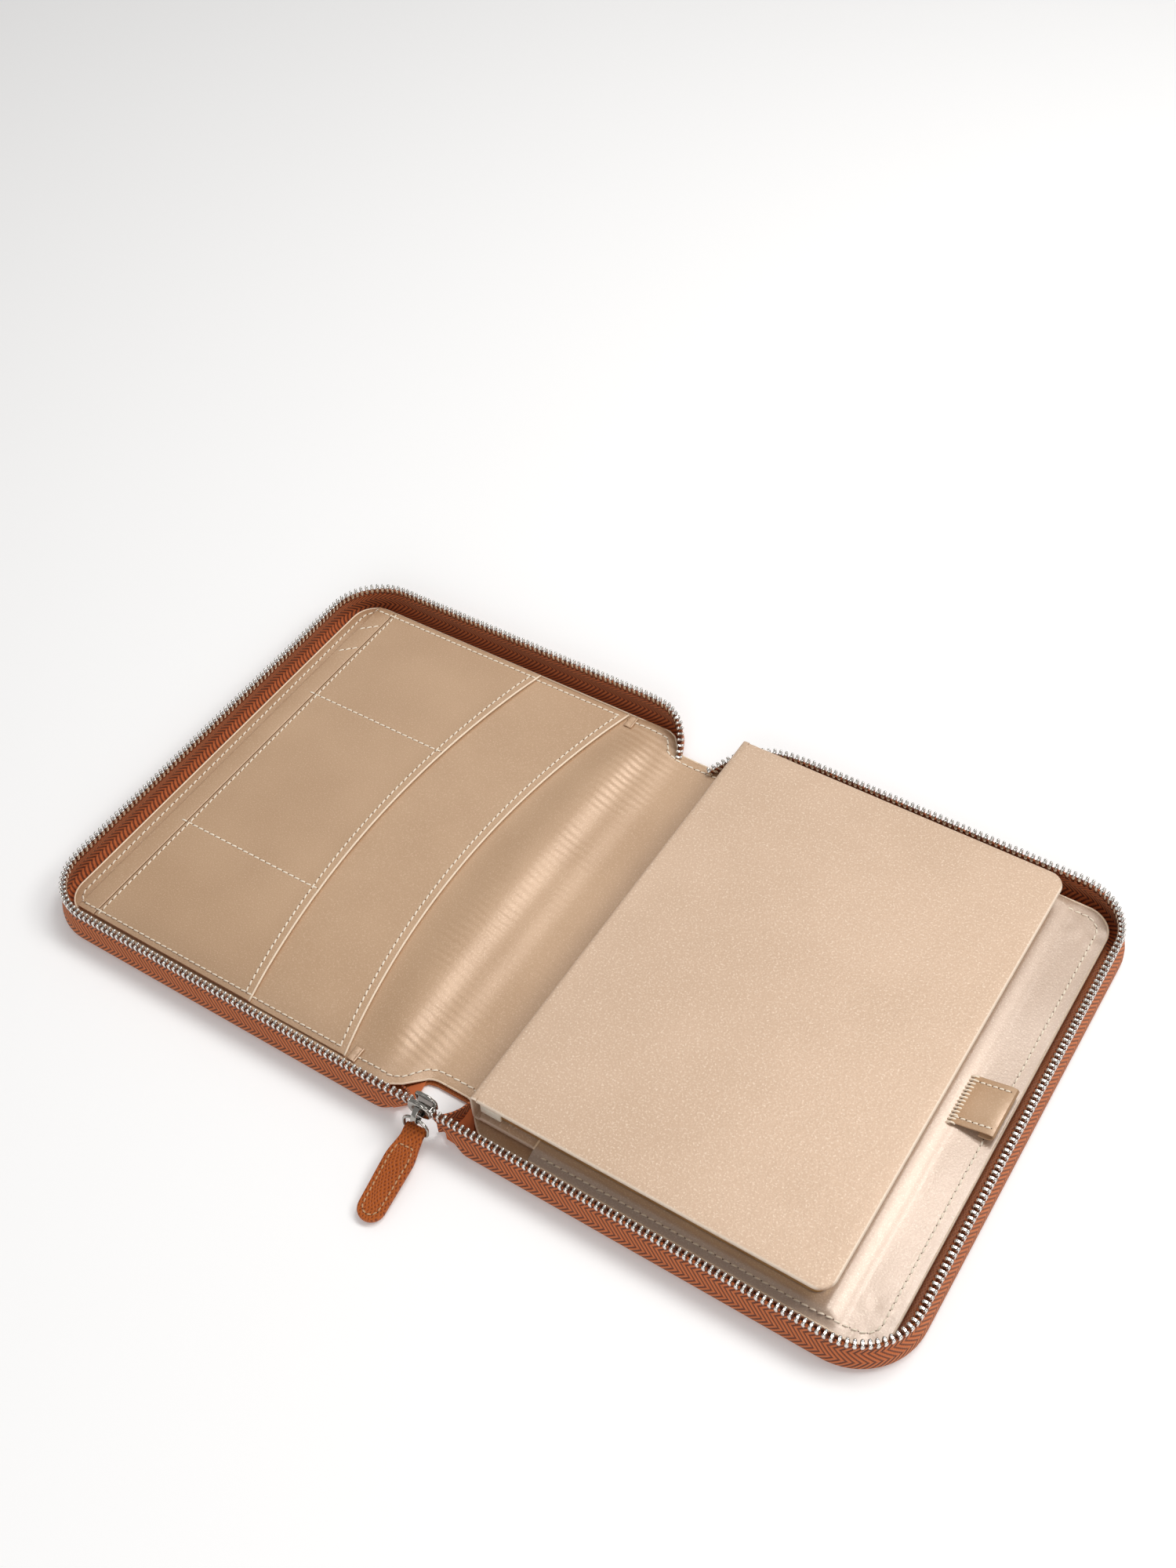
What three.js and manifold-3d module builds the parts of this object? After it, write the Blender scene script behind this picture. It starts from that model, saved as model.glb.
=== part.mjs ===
// A zip-round leather portfolio case lying open, with its pockets, pen loop and hard-cover notebook.
// Millimetres, +Z up. The origin is the centre of the back cover's underside, on the table.
// +X runs from the spine to the back cover's fore edge, and +Y away from the zip's slider.
import * as THREE from 'three';
import { mergeVertices } from 'three/addons/utils/BufferGeometryUtils.js';
import Module from 'manifold-3d';

const wasm = await Module();
wasm.setup();

// Driving dimensions
const COVER_LENGTH = 178.5; // from a fold line to the fore edge of a cover
const COVER_WIDTH = 222; // along the spine
const COVER_RADIUS = 22; // outer corners of a cover
const SPINE_WIDTH = 32; // between the two fold lines
const SPINE_LENGTH = 194; // shorter than the covers, so that the zip's ends pass its cut-outs
const LEATHER = 1.0; // outer leather's thickness, and the height of the fold lines
const SKIN = 0.6; // lining and pocket sheet's thickness
const GAP = 0.3; // between pieces that touch
const BACK_BOARD = 2.8;
const FRONT_BOARD = 1.9;
const TEETH_LEAN = 2; // the zip's teeth stand this far outside the cover's edge
const TEETH_WIDTH = 3;
const TEETH_HEIGHT = 2.2;
const TAPE = 1; // zip tape's thickness
const MESH_GAP = 1.2; // between the two rows of teeth when the case is shut
const NOTEBOOK_LENGTH = 150; // across its cover, from spine to fore edge
const NOTEBOOK_WIDTH = 209; // along its spine
const NOTEBOOK_BOARD = 2.2;
const NOTEBOOK_THICK = 14.8;
const NOTEBOOK_SHIFT = 2; // it lies this far behind the case's middle

// Levels above the table
const boardBase = LEATHER + GAP;
const backLiningBase = boardBase + BACK_BOARD + GAP;
const backLiningTop = backLiningBase + SKIN;
const frontLiningBase = boardBase + FRONT_BOARD + GAP;
const slipBase = frontLiningBase + SKIN + GAP;
const cardBase = slipBase + SKIN + GAP;
const shutMiddle = LEATHER + SPINE_WIDTH / 2;
const teethTop = shutMiddle - MESH_GAP / 2;
const teethBase = teethTop - TEETH_HEIGHT;
const tapeTop = teethBase - GAP;
const halfWidth = COVER_WIDTH / 2;
const teethLine = halfWidth + TEETH_LEAN;
const teethReach = COVER_LENGTH + TEETH_LEAN;

// Finishes
const finish = (color, roughness, metalness = 0) =>
  new THREE.MeshStandardMaterial({ color, roughness, metalness });
const tanLeather = finish(0xb35f2c, 0.5);
const champagneLeather = finish(0xc7a884, 0.35, 0.4);
const greyBoard = finish(0x8d8378, 0.9);
const tanTape = finish(0xa0492a, 0.85);
const nickel = finish(0xd8d6d0, 0.2, 1);
const gildedPaper = finish(0xd9b36c, 0.4, 0.3);
const ivoryPaper = finish(0xefe7d6, 0.9);

function part(name, geometry, material) {
  const mesh = new THREE.Mesh(geometry, material);
  mesh.name = name;
  return mesh;
}

// Builders: a sheet lies flat, a bar runs along the spine, and a strip follows a flat curve.
const plane = (x, y) => new THREE.Vector2(x, y);

function sheet(outline, low, high) {
  const shape = Array.isArray(outline) ? new THREE.Shape(outline) : outline;
  const geometry = new THREE.ExtrudeGeometry(shape, {
    depth: high - low,
    bevelEnabled: false,
    curveSegments: 8,
  });
  return geometry.translate(0, 0, low);
}

function block(lowX, highX, lowY, highY, low, high) {
  const geometry = new THREE.BoxGeometry(highX - lowX, highY - lowY, high - low);
  return geometry.translate((lowX + highX) / 2, (lowY + highY) / 2, (low + high) / 2);
}

function bar(profile, lowY, highY) {
  const shape = Array.isArray(profile) ? new THREE.Shape(profile) : profile;
  const geometry = new THREE.ExtrudeGeometry(shape, {
    depth: highY - lowY,
    bevelEnabled: false,
    curveSegments: 8,
  });
  return geometry.rotateX(Math.PI / 2).translate(0, highY, 0);
}

// The section's points are given as offset inwards (left of the run) and height.
function strip(run, section, steps) {
  const shape = new THREE.Shape(section.map(([inward, height]) => plane(-height, inward)));
  return new THREE.ExtrudeGeometry(shape, { steps, extrudePath: run });
}

function solid(geometry) {
  const bare = geometry.index ? geometry.toNonIndexed() : geometry.clone();
  bare.deleteAttribute('normal');
  bare.deleteAttribute('uv');
  const merged = mergeVertices(bare, 1e-4);
  return new wasm.Manifold(
    new wasm.Mesh({
      numProp: 3,
      vertProperties: merged.attributes.position.array,
      triVerts: new Uint32Array(merged.index.array),
    }),
  );
}

function geometryOf(manifold) {
  const { vertProperties, triVerts } = manifold.getMesh();
  const geometry = new THREE.BufferGeometry();
  geometry.setAttribute('position', new THREE.BufferAttribute(vertProperties, 3));
  geometry.setIndex(new THREE.BufferAttribute(triVerts, 1));
  geometry.computeVertexNormals();
  return geometry;
}

// Each half is drawn from its fold line at x = 0 towards its fore edge at +x.
// A leaf has round corners at its fore edge and cut corners at the fold, where the zip's ends pass.
function leaf(start, length, half, radius, cut = 7) {
  const shape = new THREE.Shape();
  shape.moveTo(start, -half + cut);
  shape.lineTo(start + cut, -half);
  shape.lineTo(length - radius, -half);
  shape.absarc(length - radius, -half + radius, radius, -Math.PI / 2, 0);
  shape.lineTo(length, half - radius);
  shape.absarc(length - radius, half - radius, radius, 0, Math.PI / 2);
  shape.lineTo(start + cut, half);
  shape.lineTo(start, half - cut);
  shape.closePath();
  return shape;
}

// The zip's run round one half: along one end, round two corners, and back along the other end.
function zipRun(start, end) {
  const radius = COVER_RADIUS + TEETH_LEAN;
  const arcHandle = radius * 0.5523;
  const point = (x, y) => new THREE.Vector3(x, y, 0);
  const bend = (...points) => new THREE.CubicBezierCurve3(...points);
  const run = new THREE.CurvePath();
  run.add(new THREE.LineCurve3(point(start, -teethLine), point(teethReach - radius, -teethLine)));
  run.add(
    bend(
      point(teethReach - radius, -teethLine),
      point(teethReach - radius + arcHandle, -teethLine),
      point(teethReach, -teethLine + radius - arcHandle),
      point(teethReach, -teethLine + radius),
    ),
  );
  run.add(
    new THREE.LineCurve3(
      point(teethReach, -teethLine + radius),
      point(teethReach, teethLine - radius),
    ),
  );
  run.add(
    bend(
      point(teethReach, teethLine - radius),
      point(teethReach, teethLine - radius + arcHandle),
      point(teethReach - radius + arcHandle, teethLine),
      point(teethReach - radius, teethLine),
    ),
  );
  run.add(new THREE.LineCurve3(point(teethReach - radius, teethLine), point(end, teethLine)));
  return run;
}

// One cover: outer leather, stiff board, lining, and the zip's tape and teeth round three sides.
function coverHalf(name, boardThickness, liningLength, teethStart, teethEnd) {
  const half = new THREE.Group();
  const steps = 112;
  const liningBase = boardBase + boardThickness + GAP;
  const boardInset = 4;
  const footInset = TEETH_LEAN + 1.2;
  const tapeHalf = TAPE / 2;
  half.add(
    part(
      `${name}_cover_leather`,
      sheet(leaf(1.5, COVER_LENGTH, halfWidth, COVER_RADIUS), 0, LEATHER),
      tanLeather,
    ),
    part(
      `${name}_board`,
      sheet(
        leaf(1.5, COVER_LENGTH - boardInset, halfWidth - boardInset, COVER_RADIUS - boardInset),
        boardBase,
        boardBase + boardThickness,
      ),
      greyBoard,
    ),
    part(
      `${name}_lining`,
      sheet(leaf(1.5, liningLength, halfWidth - 3.5, COVER_RADIUS - 5), liningBase, liningBase + SKIN),
      champagneLeather,
    ),
    part(
      `${name}_zip_tape`,
      strip(
        zipRun(2, 2),
        [
          [footInset + tapeHalf, boardBase],
          [footInset - tapeHalf, boardBase],
          [-tapeHalf, tapeTop],
          [tapeHalf, tapeTop],
        ],
        steps,
      ),
      tanTape,
    ),
    part(
      `${name}_zip_teeth`,
      strip(
        zipRun(teethStart, teethEnd),
        [
          [TEETH_WIDTH / 2, teethBase],
          [-TEETH_WIDTH / 2, teethBase],
          [-TEETH_WIDTH / 2, teethTop],
          [TEETH_WIDTH / 2, teethTop],
        ],
        steps,
      ),
      nickel,
    ),
  );
  return half;
}

// The stop at the free end of a row of teeth, at the back of the spine.
function topStop(name, y) {
  const stopWidth = 3.4;
  return part(
    name,
    block(-0.4, 1.7, y - stopWidth / 2, y + stopWidth / 2, teethBase - 0.2, teethTop - 0.1),
    nickel,
  );
}

// Back cover's fittings: the notebook pocket's flap lies over the notebook's back board,
// and steps down past its fore edge to the lining.
const notebookLow = backLiningTop + GAP;
const notebookStart = 1.8;
const notebookFore = notebookStart + NOTEBOOK_LENGTH;
const flapBase = notebookLow + NOTEBOOK_BOARD + GAP;
const flapMouth = 30;
const backLiningLength = 174.8;

function notebookFlap() {
  const stepStart = notebookFore + 0.8;
  const stepEnd = stepStart + 3;
  const seatBase = backLiningTop + GAP;
  const profile = [
    plane(flapMouth, flapBase),
    plane(stepStart, flapBase),
    plane(stepEnd, seatBase),
    plane(backLiningLength, seatBase),
    plane(backLiningLength, seatBase + SKIN),
    plane(stepEnd + 0.4, seatBase + SKIN),
    plane(stepStart + 0.4, flapBase + SKIN),
    plane(flapMouth, flapBase + SKIN),
  ];
  const cornerRadius = COVER_RADIUS - 5;
  const widest = sheet(leaf(flapMouth - 8, backLiningLength, halfWidth - 3.5, cornerRadius), 0, 20);
  const folded = solid(bar(profile, -halfWidth + 3.5, halfWidth - 3.5));
  return part('notebook_pocket_flap', geometryOf(folded.intersect(solid(widest))), champagneLeather);
}

// A flat leather sleeve that a pen slides through, along the spine's direction.
function penLoop() {
  const low = backLiningTop + 2 * GAP + SKIN;
  const outer = { left: 156.6, right: 173.4, bottom: low, top: low + 6 };
  const wall = 0.8;
  const round = 2.6;
  const sleeve = roundedBox(outer.left, outer.right, outer.bottom, outer.top, round);
  sleeve.holes.push(
    roundedBox(
      outer.left + wall,
      outer.right - wall,
      outer.bottom + wall,
      outer.top - wall,
      round - wall,
    ),
  );
  return part('pen_loop', bar(sleeve, -12.5, 10.5), champagneLeather);
}

function roundedBox(left, right, bottom, top, radius) {
  const shape = new THREE.Shape();
  shape.moveTo(left + radius, bottom);
  shape.lineTo(right - radius, bottom);
  shape.absarc(right - radius, bottom + radius, radius, -Math.PI / 2, 0);
  shape.lineTo(right, top - radius);
  shape.absarc(right - radius, top - radius, radius, 0, Math.PI / 2);
  shape.lineTo(left + radius, top);
  shape.absarc(left + radius, top - radius, radius, Math.PI / 2, Math.PI);
  shape.lineTo(left, bottom + radius);
  shape.absarc(left + radius, bottom + radius, radius, Math.PI, 1.5 * Math.PI);
  return shape;
}

// Front cover's pockets. A pocket's mouth is a shallow arc that bows away from the spine.
const slipMouth = { ends: 25.5, bow: 15.5 };
const cardMouth = { ends: 74, bow: 13.5 };
const pocketHalf = halfWidth - 5;
const pocketSeam = 158.9;
const pocketFar = 168.2;

function mouthArc(mouth, shift = 0) {
  const radius = (pocketHalf ** 2 + mouth.bow ** 2) / (2 * mouth.bow);
  const centre = mouth.ends + mouth.bow - radius;
  return (y) => centre + Math.sqrt(radius ** 2 - y ** 2) + shift;
}

function pocketPanel(mouth, far, low) {
  const edge = mouthArc(mouth);
  const segments = 20;
  const outline = [plane(far, -pocketHalf), plane(far, pocketHalf)];
  for (let i = 0; i <= segments; i += 1) {
    const y = pocketHalf - (2 * pocketHalf * i) / segments;
    outline.push(plane(edge(y), y));
  }
  return sheet(outline, low, low + SKIN);
}

// The rolled edge along a pocket's mouth.
function mouthPiping(mouth, low) {
  const edge = mouthArc(mouth, -GAP - 0.5);
  const points = [];
  for (let i = 0; i <= 12; i += 1) {
    const y = pocketHalf - (2 * pocketHalf * i) / 12;
    points.push(new THREE.Vector3(edge(y), y, 0));
  }
  const roll = [
    [0.5, low],
    [-0.5, low],
    [-0.5, low + 0.9],
    [0.5, low + 0.9],
  ];
  return strip(new THREE.CatmullRomCurve3(points), roll, 24);
}

function frontPockets() {
  const pockets = new THREE.Group();
  const gussetDepth = 3;
  const gussetLength = 6;
  pockets.add(
    part('slip_pocket_panel', pocketPanel(slipMouth, pocketFar, slipBase), champagneLeather),
    part('slip_pocket_piping', mouthPiping(slipMouth, slipBase), champagneLeather),
    part('card_pocket_panel', pocketPanel(cardMouth, pocketSeam, cardBase), champagneLeather),
    part('card_pocket_piping', mouthPiping(cardMouth, cardBase), champagneLeather),
    part(
      'document_pocket_band',
      block(pocketSeam + GAP, pocketFar, -pocketHalf, pocketHalf, cardBase, cardBase + SKIN),
      champagneLeather,
    ),
  );
  for (const [name, side] of [['front', 1], ['back', -1]]) {
    const middle = side * (pocketHalf - gussetLength / 2);
    const start = slipMouth.ends - 1.6 - gussetDepth;
    const tab = block(
      start,
      start + gussetDepth,
      middle - gussetLength / 2,
      middle + gussetLength / 2,
      slipBase,
      slipBase + SKIN,
    );
    pockets.add(part(`pocket_gusset_${name}`, tab, champagneLeather));
  }
  return pockets;
}

// Spine: a soft strip of leather, thin stiffener and lining, hemmed at both cut-outs.
// Its x runs from the back fold line at 0 to the front one at -SPINE_WIDTH.
function spine() {
  const group = new THREE.Group();
  const side = 0.6;
  const half = SPINE_LENGTH / 2;
  const stiffener = 0.4;
  const hem = 2.4;
  const low = LEATHER + GAP;
  const liningLow = low + stiffener + GAP;
  const liningHigh = liningLow + 0.5;
  group.add(
    part('spine_leather', block(-SPINE_WIDTH + side, -side, -half, half, 0, LEATHER), tanLeather),
    part(
      'spine_stiffener',
      block(-SPINE_WIDTH + 3, -3, -half + 4, half - 4, low, low + stiffener),
      greyBoard,
    ),
    part(
      'spine_lining',
      block(-SPINE_WIDTH + side, -side, -half, half, liningLow, liningHigh),
      champagneLeather,
    ),
    part(
      'spine_front_hem',
      block(-SPINE_WIDTH + 4, -4, -half - hem, -half - GAP, 0, liningHigh),
      champagneLeather,
    ),
    part(
      'spine_back_hem',
      block(-SPINE_WIDTH + 4, -4, half + GAP, half + hem, 0, liningHigh),
      champagneLeather,
    ),
  );
  return group;
}

// Slider: two plates that straddle the teeth, joined by the thin wedge that parts the rows.
const sliderX = -12.3;
const sliderHalf = 5.2;
const plateGap = TEETH_WIDTH / 2 + GAP;
const plate = 1.1;
const plateReach = 4.4;
const sliderFace = -teethLine - plateGap - plate;

function sliderBody() {
  const low = shutMiddle - plateReach;
  const high = shutMiddle + plateReach;
  const left = sliderX - sliderHalf;
  const right = sliderX + sliderHalf;
  const wedge = 0.5;
  const nosePlate = (innerY, outerY) =>
    solid(block(left, right, Math.min(innerY, outerY), Math.max(innerY, outerY), low, high));
  const inner = -teethLine + plateGap;
  const outer = -teethLine - plateGap;
  const post = solid(
    block(
      right - 2.2,
      right - 0.2,
      outer - plate / 2,
      inner + plate / 2,
      shutMiddle - wedge / 2,
      shutMiddle + wedge / 2,
    ),
  );
  const joined = nosePlate(inner, inner + plate).add(nosePlate(outer - plate, outer)).add(post);
  return part('slider_body', geometryOf(joined), nickel);
}

// The bail on the slider's outer plate, with an eye for the ring's wire.
const eyeDepth = 1.9;
const ringTop = { y: sliderFace - GAP - eyeDepth, z: 14.4 };

function sliderBail() {
  const outline = new THREE.Shape();
  const back = sliderFace - GAP;
  const front = ringTop.y - 1.6;
  outline.moveTo(back, ringTop.z - 2.4);
  outline.lineTo(back, ringTop.z + 4.4);
  outline.lineTo(back - 1.2, ringTop.z + 4.4);
  outline.lineTo(front, ringTop.z + 1.2);
  outline.lineTo(front, ringTop.z - 1.2);
  outline.lineTo(front + 1.2, ringTop.z - 2.4);
  const eye = new THREE.Path();
  eye.absarc(ringTop.y, ringTop.z, 1.0, 0, 2 * Math.PI);
  outline.holes.push(eye);
  const width = 2.2;
  const bail = new THREE.ExtrudeGeometry(outline, {
    depth: width,
    bevelEnabled: false,
    curveSegments: 6,
  });
  // The outline's x and y are the part's y and z.
  bail.applyMatrix4(new THREE.Matrix4().set(0, 0, 1, 0, 1, 0, 0, 0, 0, 1, 0, 0, 0, 0, 0, 1));
  return part('slider_bail', bail.translate(sliderX - width / 2, 0, 0), nickel);
}

// A D-shaped wire ring that hangs from the bail's eye, with its straight side at the foot.
const ringHeight = 7;
const ringHang = THREE.MathUtils.degToRad(10); // its foot hangs this far forward of plumb
const wire = 0.65;
const ringFoot = {
  y: ringTop.y - ringHeight * Math.sin(ringHang),
  z: ringTop.z - ringHeight * Math.cos(ringHang),
};

function pullRing() {
  const halfAcross = 5.4;
  const halfDown = ringHeight / 2;
  const geometry = new THREE.TorusGeometry(1 + wire, wire, 8, 28);
  const vertices = geometry.getAttribute('position');
  for (let i = 0; i < vertices.count; i += 1) {
    const reach = Math.hypot(vertices.getX(i), vertices.getY(i));
    const cos = vertices.getX(i) / reach;
    const sin = vertices.getY(i) / reach;
    const offset = reach - 1 - wire;
    const squareness = sin > 0 ? 1 : 0.36;
    const across = Math.sign(cos) * Math.abs(cos) ** squareness;
    const down = Math.sign(sin) * Math.abs(sin) ** squareness;
    vertices.setXY(i, halfAcross * across + offset * cos, halfDown * down + offset * sin);
  }
  geometry.rotateX(Math.PI / 2 - ringHang);
  geometry.translate(sliderX, (ringTop.y + ringFoot.y) / 2, (ringTop.z + ringFoot.z) / 2);
  return part('pull_ring', geometry, nickel);
}

// The leather pull: a strip folded round the ring's foot and stitched to itself, with a round end.
function leatherPull() {
  const reach = 38;
  const halfAcross = 6.2;
  const neck = 4.0;
  const thick = 2.7;
  const sleeve = 2.4;
  const bore = 1.4;
  const tipRadius = 5.4;
  const profile = new THREE.Shape();
  const shoulder = Math.asin(thick / 2 / sleeve);
  profile.absarc(0, 0, sleeve, shoulder, 2 * Math.PI - shoulder);
  profile.lineTo(reach, -thick / 2);
  profile.lineTo(reach, thick / 2);
  const eye = new THREE.Path();
  eye.absarc(0, 0, bore, 0, 2 * Math.PI);
  profile.holes.push(eye);
  const plan = new THREE.Shape();
  plan.moveTo(-3, -neck);
  plan.lineTo(4, -neck);
  plan.lineTo(10, -halfAcross);
  plan.lineTo(reach - tipRadius, -tipRadius);
  plan.absarc(reach - tipRadius, 0, tipRadius, -Math.PI / 2, Math.PI / 2);
  plan.lineTo(10, halfAcross);
  plan.lineTo(4, neck);
  plan.lineTo(-3, neck);
  const side = solid(bar(profile, -8, 8));
  const top = solid(sheet(plan, -5, 5));
  const pull = geometryOf(side.intersect(top));
  const pitch = Math.asin((ringFoot.z - thick / 2 - 0.1) / reach);
  const sway = THREE.MathUtils.degToRad(5); // its end lies a little towards the back cover
  pull.rotateY(pitch).rotateZ(sway - Math.PI / 2);
  return part('leather_pull', pull.translate(sliderX, ringFoot.y, ringFoot.z), tanLeather);
}

// Notebook: two boards and a flat spine round a gilt-edged page block.
const notebookTop = notebookLow + NOTEBOOK_THICK;
const notebookFront = -NOTEBOOK_WIDTH / 2 + NOTEBOOK_SHIFT;
const notebookBack = NOTEBOOK_WIDTH / 2 + NOTEBOOK_SHIFT;
const notebookSpine = 1.9;
const boardStart = notebookStart + notebookSpine + GAP;

function notebookLeaf(low, high) {
  const radius = 7;
  const shape = new THREE.Shape();
  shape.moveTo(boardStart, notebookFront);
  shape.lineTo(notebookFore - radius, notebookFront);
  shape.absarc(notebookFore - radius, notebookFront + radius, radius, -Math.PI / 2, 0);
  shape.lineTo(notebookFore, notebookBack - radius);
  shape.absarc(notebookFore - radius, notebookBack - radius, radius, 0, Math.PI / 2);
  shape.lineTo(boardStart, notebookBack);
  return sheet(shape, low, high);
}

function notebook() {
  const group = new THREE.Group();
  const inset = 3.2;
  const blockLow = flapBase + SKIN + GAP;
  const pastedown = 0.2;
  const topBoardLow = notebookTop - NOTEBOOK_BOARD;
  const blockHigh = topBoardLow - 2 * GAP - pastedown;
  const blockStart = boardStart + 0.3;
  const blockEnds = [notebookFront + inset, notebookBack - inset];
  group.add(
    part(
      'notebook_back_board',
      notebookLeaf(notebookLow, notebookLow + NOTEBOOK_BOARD),
      champagneLeather,
    ),
    part(
      'notebook_spine',
      block(
        notebookStart,
        notebookStart + notebookSpine,
        notebookFront,
        notebookBack,
        notebookLow,
        notebookTop,
      ),
      champagneLeather,
    ),
    part(
      'page_block',
      block(blockStart, notebookFore - inset, ...blockEnds, blockLow, blockHigh),
      gildedPaper,
    ),
    part('notebook_front_board', notebookLeaf(topBoardLow, notebookTop), champagneLeather),
    part(
      'notebook_pastedown',
      block(
        boardStart + 1,
        notebookFore - inset - 1,
        ...blockEnds,
        topBoardLow - GAP - pastedown,
        topBoardLow - GAP,
      ),
      ivoryPaper,
    ),
  );
  for (const [name, side, end] of [['tail', -1, blockEnds[0]], ['head', 1, blockEnds[1]]]) {
    const near = end + side * GAP;
    const far = end + side * 1.4;
    group.add(
      part(
        `${name}_band`,
        block(blockStart, blockStart + 9, Math.min(near, far), Math.max(near, far), blockLow, blockHigh),
        ivoryPaper,
      ),
    );
  }
  return group;
}

// The case put together: the back half and its fittings, the spine, and the front half turned round.
const bridge = 16; // the back row of teeth reaches this far over the spine, into the slider
const backHalf = coverHalf('back', BACK_BOARD, backLiningLength, -bridge, 2);
backHalf.add(
  notebookFlap(),
  penLoop(),
  topStop('back_top_stop', teethLine),
  sliderBody(),
  sliderBail(),
  pullRing(),
  leatherPull(),
  notebook(),
);

const frontHalf = coverHalf('front', FRONT_BOARD, 176.5, 2, 0);
frontHalf.add(frontPockets(), topStop('front_top_stop', -teethLine));
frontHalf.rotation.z = Math.PI;
frontHalf.position.x = -SPINE_WIDTH;

const portfolio = new THREE.Group();
portfolio.add(backHalf, spine(), frontHalf);
portfolio.position.x = -COVER_LENGTH / 2;

export default portfolio;
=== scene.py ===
import math

import bpy
import numpy as np
from mathutils import Matrix, Vector
from mathutils.geometry import delaunay_2d_cdt


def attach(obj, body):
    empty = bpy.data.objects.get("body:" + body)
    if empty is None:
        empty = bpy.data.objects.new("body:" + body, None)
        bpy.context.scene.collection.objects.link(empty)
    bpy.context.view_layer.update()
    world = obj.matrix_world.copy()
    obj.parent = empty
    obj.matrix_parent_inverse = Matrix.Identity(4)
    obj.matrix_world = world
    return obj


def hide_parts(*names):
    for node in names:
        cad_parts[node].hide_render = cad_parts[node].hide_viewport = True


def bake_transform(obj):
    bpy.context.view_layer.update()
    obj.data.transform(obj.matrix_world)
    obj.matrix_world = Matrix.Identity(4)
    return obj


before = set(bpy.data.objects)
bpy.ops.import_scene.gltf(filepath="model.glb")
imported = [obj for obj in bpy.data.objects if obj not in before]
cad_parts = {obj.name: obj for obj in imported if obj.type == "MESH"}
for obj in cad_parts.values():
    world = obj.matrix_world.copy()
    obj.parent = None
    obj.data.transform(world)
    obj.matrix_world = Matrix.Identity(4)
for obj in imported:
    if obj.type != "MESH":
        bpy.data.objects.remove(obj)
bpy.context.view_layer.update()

# Camera, floor and soft studio light. The case lies on a white table, seen from its front
# right corner and from above, with softboxes behind it and a broad fill in front.
scene = bpy.context.scene
scene.view_settings.view_transform = "Standard"
azimuth, elevation, roll = (math.radians(angle) for angle in (35.504, 48.852, 3.856))
forward = Vector((
    -math.sin(azimuth) * math.cos(elevation),
    math.cos(azimuth) * math.cos(elevation),
    -math.sin(elevation),
))
level = Vector((math.cos(azimuth), math.sin(azimuth), 0))
plumb = forward.cross(level)
rightward = math.cos(roll) * level + math.sin(roll) * plumb
downward = math.cos(roll) * plumb - math.sin(roll) * level
camera = bpy.data.objects.new("camera", bpy.data.cameras.new("camera"))
scene.collection.objects.link(camera)
camera.data.lens = 39.66
camera.data.sensor_width = 36
camera.data.clip_start = 0.01
pose = Matrix((rightward, -downward, -forward)).transposed().to_4x4()
pose.translation = (0.15162, -0.34773, 0.57990)
camera.matrix_world = pose
scene.camera = camera

SUMS = {"add": "ADD", "sub": "SUBTRACT", "mul": "MULTIPLY", "truediv": "DIVIDE",
        "mod": "MODULO", "gt": "GREATER_THAN"}


class Wire:
    """A shader socket that can be used in sums."""

    def __init__(self, finish, socket):
        self.finish = finish
        self.socket = socket

    def sum_with(self, operation, *terms):
        return self.finish.node("ShaderNodeMath", {"operation": operation}, dict(enumerate(terms)))


def _forward(operation):
    return lambda self, other: self.sum_with(operation, self, other)


def _reflected(operation):
    return lambda self, other: self.sum_with(operation, other, self)


for sign, operation in SUMS.items():
    setattr(Wire, f"__{sign}__", _forward(operation))
    if sign != "gt":
        setattr(Wire, f"__r{sign}__", _reflected(operation))


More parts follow.
